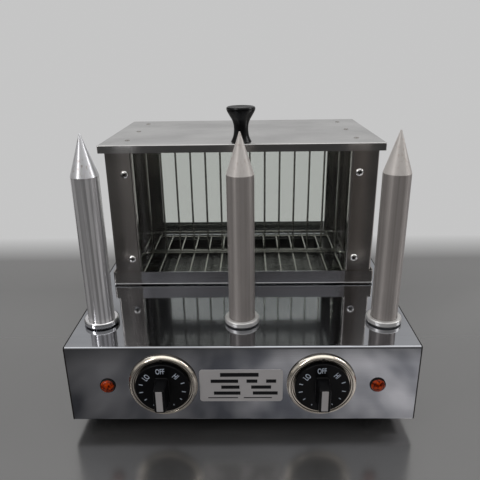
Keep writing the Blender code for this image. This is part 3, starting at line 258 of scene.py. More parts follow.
# Lamps of the studio: place, aim, size and power in watts
STUDIO_LAMPS = {
    "overhead": ((0.0, -0.10, 1.5), (0, 0, 0.1), (2.2, 1.4), 10.0),
    "left_key": ((-1.15, -1.10, 1.15), (0, 0, 0.12), (0.25, 0.9), 7.0),
    "right_fill": ((1.4, 0.0, 1.0), (0, 0, 0.12), (0.35, 0.8), 5.0),
}

# Tones of the backdrop, bench and room
PALE = 0.56
FLOOR_TONE = 0.30
ROOM_TONE = 0.07
CEILING_TONE = 0.42
LOW_TONE = 0.08

# Where each change of tone on the floor starts and ends, in metres
FLOOR_RADIUS = 30.0
NEAR_ENDS = (0.45, 0.75)
REAR_ENDS = (-0.02, 0.16)
ACROSS_ENDS = (-0.24, 0.22)
WALL_ENDS = (0.28, 0.40)
ROOM_ENDS = (-0.275, -0.33)
BACKDROP_ENDS = (0.9, 2.0)

# The same for the room, as parts of a direction
BEHIND_ENDS = (0.10, 0.40)
BEHIND_SIDE_ENDS = (0.45, 0.65)
CEILING_ENDS = (0.40, 0.52)
ASIDE_ENDS = (0.70, 0.95)
AHEAD_ENDS = (0.0, 0.3)
CLUTTER_ENDS = (0.06, 0.16)
SLIT_PLACE = -0.49
SLIT_ENDS = (0.03, 0.07)
SOFT_ENDS = (0.06, 0.60)

# Directions that a piece's own +Z can point in: columns are its X, Y and Z
FACING_UP = Matrix.Identity(3)
FACING_FRONT = Matrix(((1, 0, 0), (0, 0, -1), (0, 1, 0)))
FACING_REAR = Matrix(((-1, 0, 0), (0, 0, 1), (0, 1, 0)))
FACING_LEFT = Matrix(((0, 0, -1), (-1, 0, 0), (0, 1, 0)))
FACING_RIGHT = Matrix(((0, 0, 1), (1, 0, 0), (0, 1, 0)))
SIDES = (("left", -1), ("right", 1))


class Extent:
    """The box of a node at rest: its corners, middle and size."""

    def __init__(self, node):
        self.low, self.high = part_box(node)
        self.middle = (self.low + self.high) / 2
        self.size = self.high - self.low

    def flank(self, side):
        """Where the box's outer and inner faces lie, for one on the left, -1, or right, 1."""
        reach = (abs(self.low.x), abs(self.high.x))
        return side * max(reach), side * min(reach)


BASE = Extent("base_wrapper")
LID = Extent("lid")
FRONT_Y = BASE.low.y
REAR_Y = BASE.high.y
DECK_Z = BASE.high.z
SHOULDER_Z = Extent("bun_spike_left").high.z - SPIKE_CONE


def shaded(colour, factor):
    """A colour made darker or lighter by a factor."""
    return tuple(channel * factor for channel in colour)


def grey(tone):
    """A colour of three equal channels."""
    return (tone, tone, tone)


class Finish:
    """A node-based material under construction."""

    def __init__(self, name):
        self.material = bpy.data.materials.new(name)
        self.material.use_nodes = True
        self.tree = self.material.node_tree
        self.shader = self.tree.nodes["Principled BSDF"]
        self.place = self.node("ShaderNodeTexCoord").outputs["Object"]

    def node(self, kind, inputs=None, **settings):
        """Add a node; its inputs are values or the outputs of other nodes."""
        node = self.tree.nodes.new(kind)
        for key, value in settings.items():
            setattr(node, key, value)
        for key, value in (inputs or {}).items():
            self.feed(node.inputs[key], value)
        return node

    def feed(self, socket, value):
        """Link another node's output to a socket, or give it a value."""
        if isinstance(value, bpy.types.NodeSocket):
            self.tree.links.new(value, socket)
        else:
            socket.default_value = value

    def set(self, **values):
        """Set or link the shader's own sockets, named with underscores for spaces."""
        for key, value in values.items():
            self.feed(self.shader.inputs[key.replace("_", " ")], value)
        return self

    def cover(self, factor, other):
        """Show another shader over this finish's own, by a factor."""
        both = self.node("ShaderNodeMixShader", {0: factor, 1: self.shader.outputs[0], 2: other})
        self.feed(self.tree.nodes["Material Output"].inputs["Surface"], both.outputs[0])

    def noise(self, scale, stretch=(1, 1, 1), detail=3.0):
        """Noise over the object, stretched along its axes."""
        mapping = self.node("ShaderNodeMapping", {"Vector": self.place, "Scale": stretch})
        made = self.node(
            "ShaderNodeTexNoise",
            {"Vector": mapping.outputs["Vector"], "Scale": scale, "Detail": detail},
        )
        return made.outputs["Fac"]

    def spread(self, value, low, high, start=0.0, end=1.0):
        """Map a value from one range to another."""
        made = self.node(
            "ShaderNodeMapRange",
            {"Value": value, "From Min": start, "From Max": end, "To Min": low, "To Max": high},
        )
        return made.outputs["Result"]

    def mix(self, factor, first, second):
        """Mix two colours."""
        made = self.node("ShaderNodeMix", data_type="RGBA")
        for index, value in ((0, factor), (6, first), (7, second)):
            self.feed(made.inputs[index], (*value, 1.0) if isinstance(value, tuple) else value)
        return made.outputs[2]

    def math(self, operation, first, second=0.0):
        """Work out a number from one or two others."""
        return self.node("ShaderNodeMath", {0: first, 1: second}, operation=operation).outputs[0]

    def scaled(self, colour, factor):
        """Make a colour darker or lighter by a number."""
        inputs = {0: colour, "Scale": factor}
        return self.node("ShaderNodeVectorMath", inputs, operation="SCALE").outputs[0]

    def bump(self, height, depth, normal=None):
        """Relief whose full height is a real depth in metres."""
        inputs = {"Height": height, "Distance": depth, "Strength": 1.0}
        if normal is not None:
            inputs["Normal"] = normal
        return self.node("ShaderNodeBump", inputs).outputs["Normal"]

    def axis(self, name):
        """One coordinate of the place on the object."""
        return self.node("ShaderNodeSeparateXYZ", {0: self.place}).outputs[name]

    def ray(self, kind):
        """One where a ray of this kind arrives, and nought elsewhere."""
        return self.node("ShaderNodeLightPath").outputs[f"Is {kind} Ray"]


class Surroundings(Finish):
    """A world's node tree, built with the same helpers."""

    def __init__(self, tree):
        self.tree = tree
        self.place = self.node("ShaderNodeTexCoord").outputs["Generated"]


def steel(
    name, colour, roughness, grain, sway=SWAY_DEPTH, cloud=0.25, cloud_scale=6.5,
    cloud_ends=(0.36, 0.62), smudge=0.10,
):
    """Rolled stainless sheet: fine grain, faint sway, wiped smudges and broad clouding, on the lid
    also painted reflection.
    """
    made = Finish(name)
    lines = made.noise(1.0, grain, 2.0)
    smears = made.noise(9.0, (1, 1, 1.6), 4.0)
    panels = made.noise(5.5, detail=1.0)
    shade = made.math("MULTIPLY", lines, smears)
    fresh = made.mix(made.spread(shade, 0, 1, 0.15, 0.45), shaded(colour, 0.86), colour)
    # Broad clouds darken the tone; on the lid they also stand in for reflections: painted
    # reflection
    clouds_and_painted_reflection = made.spread(made.noise(cloud_scale, (0.8, 1, 1.5), 3.0), 0, 1, *cloud_ends)
    worn = made.spread(smears, roughness, roughness + smudge, 0.35, 0.75)
    made.set(
        Base_Color=made.mix(clouds_and_painted_reflection, shaded(colour, 1 - cloud), fresh),
        Metallic=1.0,
        Roughness=made.math("ADD", worn, made.spread(lines, -0.02, 0.03)),
        Normal=made.bump(lines, GRAIN_DEPTH, made.bump(panels, sway)),
    )
    return made.material


def turned_metal(
    name, colour, roughness, metal, streak, band, cone_colour, cone_roughness, cone_metal
):
    """A turned bar with a paler ground cone: fine rings, faint streaks, brown specks and painted
    reflection bands.
    """
    made = Finish(name)
    height = made.axis("Z")
    rings = made.noise(1.0, (3, 3, 2600), 2.0)
    streaks = made.noise(1.0, (420, 420, 5), 3.0)
    blotches = made.noise(55.0, (1, 1, 0.6), 5.0)
    # Broad vertical bands round the bar, as strong as band sets: painted reflection, standing in
    # for streaks of light
    painted_reflection_bands = made.noise(1.0, (260, 260, 1.2), 1.5)
    tone = made.math("MULTIPLY", streaks, made.spread(blotches, 0.6, 1.3))
    tone = made.math("ADD", tone, made.spread(painted_reflection_bands, -0.5 * band, 0.5 * band, 0.35, 0.65))
    dark = shaded(colour, 1 - 0.42 * streak)
    bar = made.mix(made.spread(tone, 0, 1, 0.25, 0.65), dark, colour)
    specks = made.spread(made.noise(420.0, (1, 1, 0.6), 4.0), 0, 1, 0.52, 0.68)
    patches = made.spread(made.noise(60.0, (1, 1, 0.7), 3.0), 0, 1, 0.42, 0.60)
    specks = made.math("MULTIPLY", specks, patches)
    above = made.spread(height, 0.25, 1, SHOULDER_Z, SHOULDER_Z + STAIN_REACH)
    stained = made.math("MULTIPLY", made.math("MULTIPLY", specks, above), streak)
    ground = made.mix(stained, cone_colour, (0.36, 0.24, 0.18))
    cone = made.spread(height, 0, 1, SHOULDER_Z - CONE_BLEND, SHOULDER_Z + CONE_BLEND)
    rough = made.spread(streaks, roughness - 0.05, roughness + 0.08)
    relief = made.bump(streaks, STREAK_DEPTH * streak, made.bump(rings, RING_DEPTH))
    made.set(
        Base_Color=made.mix(cone, bar, ground),
        Metallic=made.spread(cone, metal, cone_metal),
        Anisotropic=0.85,
        Tangent=made.node("ShaderNodeTangent", direction_type="RADIAL", axis="Z").outputs[0],
        Anisotropic_Rotation=AXIAL,
        Roughness=made.math("ADD", rough, made.spread(cone, 0, cone_roughness - roughness)),
        Normal=relief,
    )
    return made.material


def plain(
    name, colour, roughness, metallic=0.0, speckle=0.06, depth=0.000004, scale=900.0, shine=0.5
):
    """A moulded or plated surface with a fine texture and slight changes of tone."""
    made = Finish(name)
    grain = made.noise(scale, detail=4.0)
    patches = made.noise(30.0)
    made.set(
        Base_Color=made.mix(patches, shaded(colour, 1 - 2 * speckle), colour),
        Metallic=metallic,
        Roughness=made.spread(patches, roughness - speckle, roughness + speckle),
        Normal=made.bump(grain, depth),
        Specular_IOR_Level=shine,
    )
    return made.material


def glass():
    """Clear pane with a faint green tint and a few wiped marks; light passes through it."""
    made = Finish("pane_glass")
    marks = made.noise(14.0, (1, 1, 0.5), 5.0)
    made.set(
        Base_Color=(0.865, 0.885, 0.860, 1.0), Transmission_Weight=1.0, IOR=1.45,
        Roughness=made.spread(marks, 0.0, 0.03, 0.5, 0.8),
    )
    clear = made.node("ShaderNodeBsdfTransparent", {"Color": (0.90, 0.95, 0.93, 1.0)})
    made.cover(made.ray("Shadow"), clear.outputs[0])
    return made.material


def amber():
    """Translucent orange lens; facet noise mixes its amber dark and bright, painted glints of light
    inside it.
    """
    made = Finish("lamp_amber")
    facets = made.noise(420.0, detail=1.0)
    # Dark and bright amber mixed by the facets: painted glints of light inside the lens
    tone = made.spread(facets, 0, 1, 0.35, 0.65)
    made.set(
        Base_Color=made.mix(tone, (0.045, 0.0025, 0.0003), (0.44, 0.045, 0.0015)),
        Roughness=0.30, Coat_Weight=0.15, Specular_IOR_Level=0.12, IOR=1.49,
        Normal=made.bump(facets, FACET_DEPTH),
    )
    return made.material


def make_materials():
    """Every finish on the object, by name."""
    return {
        "base": steel("base_steel", (0.505, 0.515, 0.545), 0.05, ALONG_X, cloud=0.38, smudge=0.05),
        "ends": steel("end_steel", (0.46, 0.46, 0.47), 0.16, ALONG_Z),
        "case": steel("case_steel", (0.46, 0.435, 0.41), 0.15, ALONG_Z, cloud=0.30),
        "rail": steel("rail_steel", (0.72, 0.72, 0.75), 0.14, ALONG_X),
        # The lid's clouds are strong and sharp-edged: clouding of the steel and painted reflection
        # on its top
        "lid": steel(
            "lid_steel", (0.62, 0.61, 0.60), 0.15, ALONG_X, LID_SWAY_DEPTH, 0.36, 15.0,
            (0.38, 0.64),
        ),
        "pan": steel("pan_steel", (0.15, 0.15, 0.14), 0.24, ALONG_X, cloud=0.80),
        # The polished spike's bar has strong painted reflection bands, the dull spikes' bars faint
        # ones
        "polished": turned_metal(
            "spike_polished", (0.92, 0.90, 0.91), 0.22, 0.62, 1.1, 1.0, (0.86, 0.86, 0.88), 0.42,
            0.80,
        ),
        "dull": turned_metal(
            "spike_dull", (0.37, 0.338, 0.322), 0.50, 0.50, 0.55, 0.25, (0.70, 0.66, 0.63), 0.62,
            0.45,
        ),
        "bright": plain("collar_polished", (0.86, 0.85, 0.86), 0.14, 1.0, 0.04, 0.000002),
        "collar": plain("collar_steel", (0.70, 0.685, 0.67), 0.33, 0.58, 0.05, 0.000002),
        "nickel": plain("bezel_plating", (0.80, 0.73, 0.63), 0.20, 1.0, 0.06, 0.000002),
        "screw": plain("screw_plating", (0.78, 0.77, 0.75), 0.10, 1.0, 0.04, 0.000003),
        "hem": plain("hem_steel", grey(0.60), 0.25, 1.0, 0.05, 0.000003),
        # Near-black inside of a screw's recess: painted shade
        "recess": plain("screw_recess_painted_shade", (0.05, 0.045, 0.04), 0.5, 1.0, 0.04, 0.000003),
        "wire": plain("wire_plating", (0.58, 0.57, 0.53), 0.22, 1.0, 0.08, 0.000006),
        "zinc": plain("zinc_plating", (0.62, 0.62, 0.60), 0.34, 1.0, 0.08, 0.000008, 300.0),
        # Near-black bottom plate: painted shade under the base
        "underside": plain("underside_painted_shade", grey(0.05), 0.55, 0.6, 0.08, 0.000008, 300.0),
        "sheath": plain("heater_sheath", (0.25, 0.23, 0.21), 0.46, 1.0, 0.10),
        "black": plain("black_phenolic", BLACK, 0.30, 0.0, 0.05, 0.00001, shine=0.25),
        "knob": plain("knob_phenolic", BLACK, 0.30, 0.0, 0.05, 0.000008, shine=0.14),
        "pointer": plain("pointer_grey", (0.42, 0.40, 0.40), 0.40, 0.0, 0.05, 0.00001),
        "ink": plain("dial_ink", (0.56, 0.62, 0.72), 0.50, 0.0, 0.05, 0.00001),
        "plate": plain("plate_foil", (0.51, 0.49, 0.49), 0.38, 0.15, 0.04, 0.000005),
        "field": plain("plate_print", (0.008, 0.008, 0.009), 0.5, 0.0, 0.04, shine=0.2),
        "rubber": plain("foot_rubber_black", grey(0.02), 0.75, 0.0, 0.05, 0.00003),
        "bakelite": plain("regulator_brown", (0.09, 0.06, 0.045), 0.5, 0.0, 0.06, 0.00002),
        "ceramic": plain("ceramic_white", (0.80, 0.78, 0.72), 0.6, 0.0, 0.04, 0.00002),
        "rivet": plain("rivet_dark", (0.34, 0.32, 0.30), 0.35, 1.0, 0.08),
        # Near-black finish of the lamp rings, the end seams and the bezel notches: painted shade
        "gap_painted_shade": plain("lamp_surround_painted_shade", (0.010, 0.008, 0.007), 0.6, 0.0, 0.05, shine=0.2),
        "amber": amber(),
        "glass": glass(),
    }


MATERIALS = make_materials()


def placed(name, data):
    """Put an object with this data in the scene."""
    obj = bpy.data.objects.new(name, data)
    bpy.context.scene.collection.objects.link(obj)
    return obj


def solid(name, bm):
    """Turn a bmesh into an object in the scene."""
    mesh = bpy.data.meshes.new(name)
    bm.to_mesh(mesh)
    bm.free()
    return placed(name, mesh)


def piece(name, bm, finish, body="root", node=None, sharp=SHARP_ANGLE, flat=True):
    """Make a bmesh a piece of the object that rides on a body and may stand for a node."""
    obj = solid(name, bm)
    obj.data.materials.append(MATERIALS[finish])
    obj.data.shade_smooth()
    obj.data.set_sharp_from_angle(angle=math.radians(sharp))
    if flat:
        obj.modifiers.new("flat_faces", "WEIGHTED_NORMAL").keep_sharp = True
    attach(obj, body)
    if node:
        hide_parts(node)
    return obj


def settle(bm, location=(0, 0, 0), facing=FACING_UP):
    """Turn a bmesh's own +Z to a direction and move its origin."""
    bmesh.ops.transform(bm, matrix=Matrix.Translation(location) @ facing.to_4x4(), verts=bm.verts)
    bmesh.ops.recalc_face_normals(bm, faces=bm.faces)
    return bm


def filleted(corners, radius, steps=BEND_STEPS, closed=False):
    """Replace the corners of a flat path with arcs; radius is one value or one a corner."""
    corners = [Vector(corner) for corner in corners]
    radii = radius if isinstance(radius, (list, tuple)) else [radius] * len(corners)
    path = []
    for index, corner in enumerate(corners):
        if radii[index] == 0 or (not closed and index in (0, len(corners) - 1)):
            path.append(corner)
            continue
        before = (corners[index - 1] - corner).normalized()
        after = (corners[(index + 1) % len(corners)] - corner).normalized()
        half_angle = before.angle(after) / 2
        reach = radii[index] / math.tan(half_angle)
        centre = corner + (before + after).normalized() * radii[index] / math.sin(half_angle)
        start = (corner + before * reach - centre).normalized()
        end = (corner + after * reach - centre).normalized()
        for step in range(steps + 1):
            path.append(centre + start.slerp(end, step / steps) * radii[index])
    return path


def smoothed(points, first, last):
    """Round off the stretch of a profile between two points by cutting its corners twice."""
    stretch = points[first:last]
    for _ in range(2):
        cut = [stretch[0]]
        for here, there in zip(stretch, stretch[1:]):
            cut += [here.lerp(there, 0.25), here.lerp(there, 0.75)]
        stretch = cut + [stretch[-1]]
    return points[:first] + stretch + points[last:]


def domed(radius, height, steps, base=0.0):
    """The profile of a dome, from its top on the axis down to its rim."""
    angles = [math.pi / 2 * step / steps for step in range(steps + 1)]
    return [(radius * math.sin(turn), base + height * math.cos(turn)) for turn in angles]


def rectangle(width, depth, centre=(0, 0)):
    """The corners of a rectangle, counterclockwise."""
    x, y = centre
    signs = ((-1, -1), (1, -1), (1, 1), (-1, 1))
    return [(x + right * width / 2, y + back * depth / 2) for right, back in signs]


def worked(parts):
    """The first object's mesh after its modifiers, in place of the objects given."""
    bm = bmesh.new()
    bm.from_object(parts[0], bpy.context.evaluated_depsgraph_get())
    for obj in parts:
        bpy.data.meshes.remove(obj.data)
    return bm


def thickened(bm):
    """Give an open surface the sheet's thickness behind its faces."""
    obj = solid("surface", bm)
    modifier = obj.modifiers.new("sheet", "SOLIDIFY")
    modifier.thickness = SHEET
    modifier.offset = -1
    modifier.use_even_offset = True
    return worked([obj])


def carved(bm, cutters):
    """Cut solids away from a solid."""
    parts = [solid(f"carving_{index}", part) for index, part in enumerate([bm, *cutters])]
    for cutter in parts[1:]:
        parts[0].modifiers.new("cut", "BOOLEAN").object = cutter
    return worked(parts)


def strip(corners, bend, span, outward):
    """A sheet bent along a flat path, between two heights of its own Z.

    The path lies on the sheet's outer face, and outward is 1 when that face is on the
    path's right hand and -1 when it is on its left.
    """
    bm = bmesh.new()
    path = filleted(corners, bend)
    low, high = [[bm.verts.new((*point, height)) for point in path] for height in span]
    for index in range(len(low) - 1):
        quad = (low[index], low[index + 1], high[index + 1], high[index])
        bm.faces.new(quad if outward > 0 else tuple(reversed(quad)))
    return thickened(bm)


def tray(width, depth, wall, corner, bend):
    """A tray pressed from sheet: a plate facing +Z with a wall folded down all round."""
    bm = bmesh.new()
    outline = filleted(rectangle(width, depth), corner, closed=True)
    rim = list(bm.faces.new([bm.verts.new((*point, 0)) for point in outline]).edges)
    walls = bmesh.ops.extrude_edge_only(bm, edges=rim)["geom"]
    moved = [item for item in walls if isinstance(item, bmesh.types.BMVert)]
    bmesh.ops.translate(bm, vec=(0, 0, -wall), verts=moved)
    bmesh.ops.bevel(bm, geom=rim, offset=bend, segments=BEND_STEPS, profile=0.5, affect="EDGES")
    bmesh.ops.recalc_face_normals(bm, faces=bm.faces)
    return thickened(bm)


def turned(profile, sides=TURNED_SIDES, ring=False):
    """Spin a profile of (radius, height) points about its own Z."""
    bm = bmesh.new()
    points = [bm.verts.new((radius, 0, height)) for radius, height in profile]
    edges = [bm.edges.new(pair) for pair in zip(points, points[1:])]
    if ring:
        edges.append(bm.edges.new((points[-1], points[0])))
    bmesh.ops.spin(
        bm, geom=points + edges, axis=(0, 0, 1), cent=(0, 0, 0), angle=2 * math.pi,
        steps=sides, use_merge=True, use_duplicate=False,
    )
    bmesh.ops.remove_doubles(bm, verts=bm.verts, dist=MERGE_DISTANCE)
    return bm


def wires(runs, sides=WIRE_SIDES):
    """Round wires as one mesh; each run is (points, radius, closed)."""
    bm = bmesh.new()
    for points, radius, closed in runs:
        points = [Vector(point) for point in points]
        last = len(points) - 1
        side = None
        rings = []
        for index, point in enumerate(points):
            before = points[index - 1] if index or closed else point
            after = points[(index + 1) % len(points)] if index < last or closed else point
            along = (after - before).normalized()
            side = along.orthogonal() if side is None else side - along * side.dot(along)
            side = side.normalized()
            other = along.cross(side)
            ring = []
            for step in range(sides):
                angle = 2 * math.pi * step / sides
                offset = (side * math.cos(angle) + other * math.sin(angle)) * radius
                ring.append(bm.verts.new(point + offset))
            rings.append(ring)
        pairs = list(zip(rings, rings[1:])) + ([(rings[-1], rings[0])] if closed else [])
        for ring, following in pairs:
            for step in range(sides):
                turn = (step + 1) % sides
                bm.faces.new((ring[step], ring[turn], following[turn], following[step]))
        if not closed:
            bm.faces.new(tuple(reversed(rings[0])))
            bm.faces.new(rings[-1])
    bmesh.ops.recalc_face_normals(bm, faces=bm.faces)
    return bm


def slab(width, length, height, corner, edge=0.0):
    """A flat slab with round corners on its own XY plane, with its top edge eased."""
    bm = bmesh.new()
    outline = filleted(rectangle(width, length), corner, 6, closed=True)
    face = bm.faces.new([bm.verts.new((*point, 0)) for point in outline])
    made = bmesh.ops.extrude_face_region(bm, geom=[face])["geom"]
    moved = [item for item in made if isinstance(item, bmesh.types.BMVert)]
    bmesh.ops.translate(bm, vec=(0, 0, height), verts=moved)
    if edge:
        top = [item for item in made if isinstance(item, bmesh.types.BMFace)]
        rim = list(top[0].edges)
        bmesh.ops.bevel(bm, geom=rim, offset=edge, segments=3, profile=0.5, affect="EDGES")
    return bm


def blocks(rows):
    """Boxes as one mesh; each row is a middle, a size and a turn about Z in degrees."""
    bm = bmesh.new()
    for middle, size, turn in rows:
        verts = bmesh.ops.create_cube(bm, size=1.0)["verts"]
        bmesh.ops.scale(bm, vec=size, verts=verts)
        bmesh.ops.translate(bm, vec=middle, verts=verts)
        bmesh.ops.rotate(bm, matrix=Matrix.Rotation(math.radians(turn), 3, "Z"), verts=verts)
    return bm


def wrapper_path(inset=0.0):
    """The wrapper's folded section in depth and height, from lip to lip."""
    front, rear = FRONT_Y + inset, REAR_Y - inset
    bottom, top = BASE.low.z + inset, DECK_Z - inset
    return [
        (FRONT_Y + BASE_LIP, bottom), (front, bottom), (front, top),
        (rear, top), (rear, bottom), (REAR_Y - BASE_LIP, bottom),
    ]


def base_housing():
    """The folded wrapper with its end caps and feet, and near-black wires of painted shade in the
    joints.
    """
    shell = strip(wrapper_path(), BASE_BEND, (BASE.low.x, BASE.high.x), -1)
    settle(shell, facing=FACING_RIGHT)
    pan = Extent("water_pan")
    middle = (pan.middle.x, pan.middle.y, DECK_Z)
    size = (pan.size.x - 2 * PAN_FLANGE, pan.size.y - 2 * PAN_FLANGE, 2 * PAN_FLANGE)
    well = blocks([(middle, size, 0)])
    piece("base_shell", carved(shell, [well]), "base", node="base_wrapper")
    # A near-black wire along each joint of wrapper and end cap: painted shade in the gap between
    # them
    sunk = SEAM_SHADE_RADIUS - SEAM_SHADE_PROUD
    section = filleted(wrapper_path(sunk), BASE_BEND - sunk)
    for name, side in SIDES:
        node = f"base_side_{name}"
        cap = Extent(node)
        outer, _ = cap.flank(side)
        facing = FACING_LEFT if side < 0 else FACING_RIGHT
        cover = tray(cap.size.y, cap.size.z, cap.size.x, BASE_BEND, END_BEND)
        settle(cover, (outer, cap.middle.y, cap.middle.z), facing)
        piece(f"base_end_{name}", cover, "ends", node=node)
        edge, _ = BASE.flank(side)
        seam = wires([([(edge, *point) for point in section], SEAM_SHADE_RADIUS, False)], SEAM_SHADE_SIDES)
        piece(f"base_seam_shade_{name}", seam, "gap_painted_shade")
    for row in ("front", "rear"):
        for name, _ in SIDES:
            node = f"foot_{row}_{name}"
            foot = Extent(node)
            radius = foot.size.x / 2
            top = foot.high.z
            outline = [(0, top), (radius, top), (radius * FOOT_TAPER_SHARE, 0), (0, 0)]
            bm = turned(filleted(outline, FOOT_EDGE, 5), FOOT_SIDES)
            settle(bm, (foot.middle.x, foot.middle.y, 0))
            piece(f"foot_pad_{row}_{name}", bm, "rubber", node=node)


def spikes():
    """Three pointed bars, each in its polished collar."""
    for name, finish, ring_finish in SPIKE_FINISHES:
        node = f"bun_spike_{name}"
        bar = Extent(node)
        radius = bar.size.x / 2
        lean = math.atan2(radius, SPIKE_CONE)
        drop = SPIKE_TIP / math.sin(lean)
        nose = []
        for step in range(7):
            angle = (math.pi / 2 - lean) * step / 6
            height = bar.high.z - drop + SPIKE_TIP * math.cos(angle)
            nose.append((SPIKE_TIP * math.sin(angle), height))
        shank = radius * SHANK_SHARE
        outline = [
            (radius, bar.high.z - SPIKE_CONE), (radius, DECK_Z),
            (shank, DECK_Z), (shank, bar.low.z), (0, bar.low.z),
        ]
        bm = settle(turned(nose + outline), (bar.middle.x, bar.middle.y, 0))
        piece(f"spike_{name}", bm, finish, node=node, sharp=SPIKE_SHARP_ANGLE, flat=False)
        node = f"spike_collar_{name}"
        collar = Extent(node)
        outer = collar.size.x / 2
        neck = collar.low.z + COLLAR_FOOT_HEIGHT
        bore = radius + FIT_GAP
        corners = [
            (bore, collar.high.z), (outer, collar.high.z), (outer, neck + COLLAR_FLARE_HEIGHT),
            (COLLAR_FOOT_RADIUS, neck), (COLLAR_FOOT_RADIUS, collar.low.z), (bore, collar.low.z),
        ]
        radii = [0.0, COLLAR_ROUND, COLLAR_EDGE, COLLAR_EDGE, 0.0, 0.0]
        bm = turned(filleted(corners, radii, 8), ring=True)
        settle(bm, (collar.middle.x, collar.middle.y, 0))
        piece(f"collar_{name}", bm, ring_finish, node=node)


def grip():
    """A bar across the dial: drafted from foot to face, with a fillet and an eased edge."""
    face_z = DIAL_FACE + GRIP_HEIGHT
    angles = [math.pi / 2 * step / 5 for step in range(6)]
    layers = []
    for angle in angles:
        spread = GRIP_FILLET * (1 - math.sin(angle))
        layers.append((GRIP_FOOT, spread, DIAL_FACE + GRIP_FILLET * (1 - math.cos(angle))))
    for angle in angles:
        spread = GRIP_ROUND * (math.cos(angle) - 1)
        layers.append((GRIP_FACE, spread, face_z - GRIP_ROUND * (1 - math.sin(angle))))
    bm = bmesh.new()
    rings = []
    for (width, length, shift), spread, height in layers:
        corners = rectangle(width + 2 * spread, length + 2 * spread, (0, shift))
        outline = filleted(corners, GRIP_CORNER + spread, 8, closed=True)
        rings.append([bm.verts.new((*point, height)) for point in outline])
    for low, high in zip(rings, rings[1:]):
        for index in range(len(low)):
            turn = (index + 1) % len(low)
            bm.faces.new((low[index], low[turn], high[turn], high[index]))
    bm.faces.new(rings[0])
    bm.faces.new(rings[-1])
    return bm


def lettering(word):
    """A printed word about its own middle, in the built-in plain font."""
    curve = bpy.data.curves.new(word, "FONT")
    curve.body = word
    curve.size = LETTER_SIZE
    curve.align_x = "CENTER"
    curve.align_y = "CENTER"
    curve.extrude = INK_HEIGHT
    curve.offset = LETTER_SWELL
    obj = placed(word, curve)
    bm = bmesh.new()
    evaluated = obj.evaluated_get(bpy.context.evaluated_depsgraph_get())
    bm.from_mesh(evaluated.to_mesh())
    bpy.data.objects.remove(obj)
    bpy.data.curves.remove(curve)
    bmesh.ops.remove_doubles(bm, verts=bm.verts, dist=LETTER_MERGE_DISTANCE)
    bmesh.ops.scale(bm, vec=(LETTER_WIDTH_SHARE, 1, 1), verts=bm.verts)
    return bm


def control(name):
    """One bezel, and the knob with its pointer, printed words and ticks; a dark block paints shade
    in the bezel's notch.
    """
    body = f"{name}_knob"
    node = f"knob_bezel_{name}"
    bezel = Extent(node)
    at = Vector((bezel.middle.x, bezel.high.y, bezel.middle.z))
    radius = bezel.size.x / 2
    height = bezel.size.y
    path = [Vector((radius * r, height * h)) for r, h in BEZEL_SHARES]
    bm = turned(smoothed(path, 1, len(path) - 1), DIAL_SIDES, ring=True)
    piece(f"bezel_{name}", settle(bm, at, FACING_FRONT), "nickel", node=node)
    node = f"control_knob_{name}"
    knob = Extent(node)
    dial_radius = knob.size.x / 2
    skirt = FRONT_Y - knob.high.y
    outline = [(0, DIAL_FACE), (dial_radius, DIAL_FACE), (dial_radius, skirt), (0, skirt)]
    bm = turned(filleted(outline, [0.0, DIAL_EDGE, 0.0, 0.0], 6), DIAL_SIDES)
    panel = Vector((at.x, FRONT_Y, at.z))
    piece(f"dial_{name}", settle(bm, panel, FACING_FRONT), "knob", body, node)
    piece(f"grip_{name}", settle(grip(), panel, FACING_FRONT), "knob", body)
    node = f"knob_pointer_{name}"
    pointer = Extent(node)
    bm = slab(pointer.size.x, pointer.size.z, pointer.size.y, POINTER_CORNER, EASED_EDGE)
    settle(bm, (pointer.middle.x, pointer.high.y, pointer.middle.z), FACING_FRONT)
    piece(f"pointer_{name}", bm, "pointer", body, node)
    face = panel + Vector((0, -DIAL_FACE, 0))
    for word, turn in DIAL_WORDS:
        bm = lettering(word)
        bmesh.ops.translate(bm, vec=(0, LETTER_RADIUS, 0), verts=bm.verts)
        ring = Matrix.Rotation(math.radians(turn), 3, "Z")
        bmesh.ops.rotate(bm, matrix=ring, verts=bm.verts)
        piece(f"word_{word.lower()}_{name}", settle(bm, face, FACING_FRONT), "ink", body)
    bm = blocks(
        ((0, TICK_RADIUS, 0), (TICK_WIDTH, length, 2 * INK_HEIGHT), turn) for turn, length in TICKS
    )
    piece(f"ticks_{name}", settle(bm, face, FACING_FRONT), "ink", body)
    # A near-black block where the bezel's notch is: painted shade
    notch_shade = slab(NOTCH_WIDTH, NOTCH_LENGTH, NOTCH_HEIGHT, NOTCH_CORNER)
    place = (0, radius * NOTCH_RADIUS_SHARE, height * NOTCH_LEVEL_SHARE)
    bmesh.ops.translate(notch_shade, vec=place, verts=notch_shade.verts)
    piece(f"bezel_notch_shade_{name}", settle(notch_shade, at, FACING_FRONT), "gap_painted_shade")


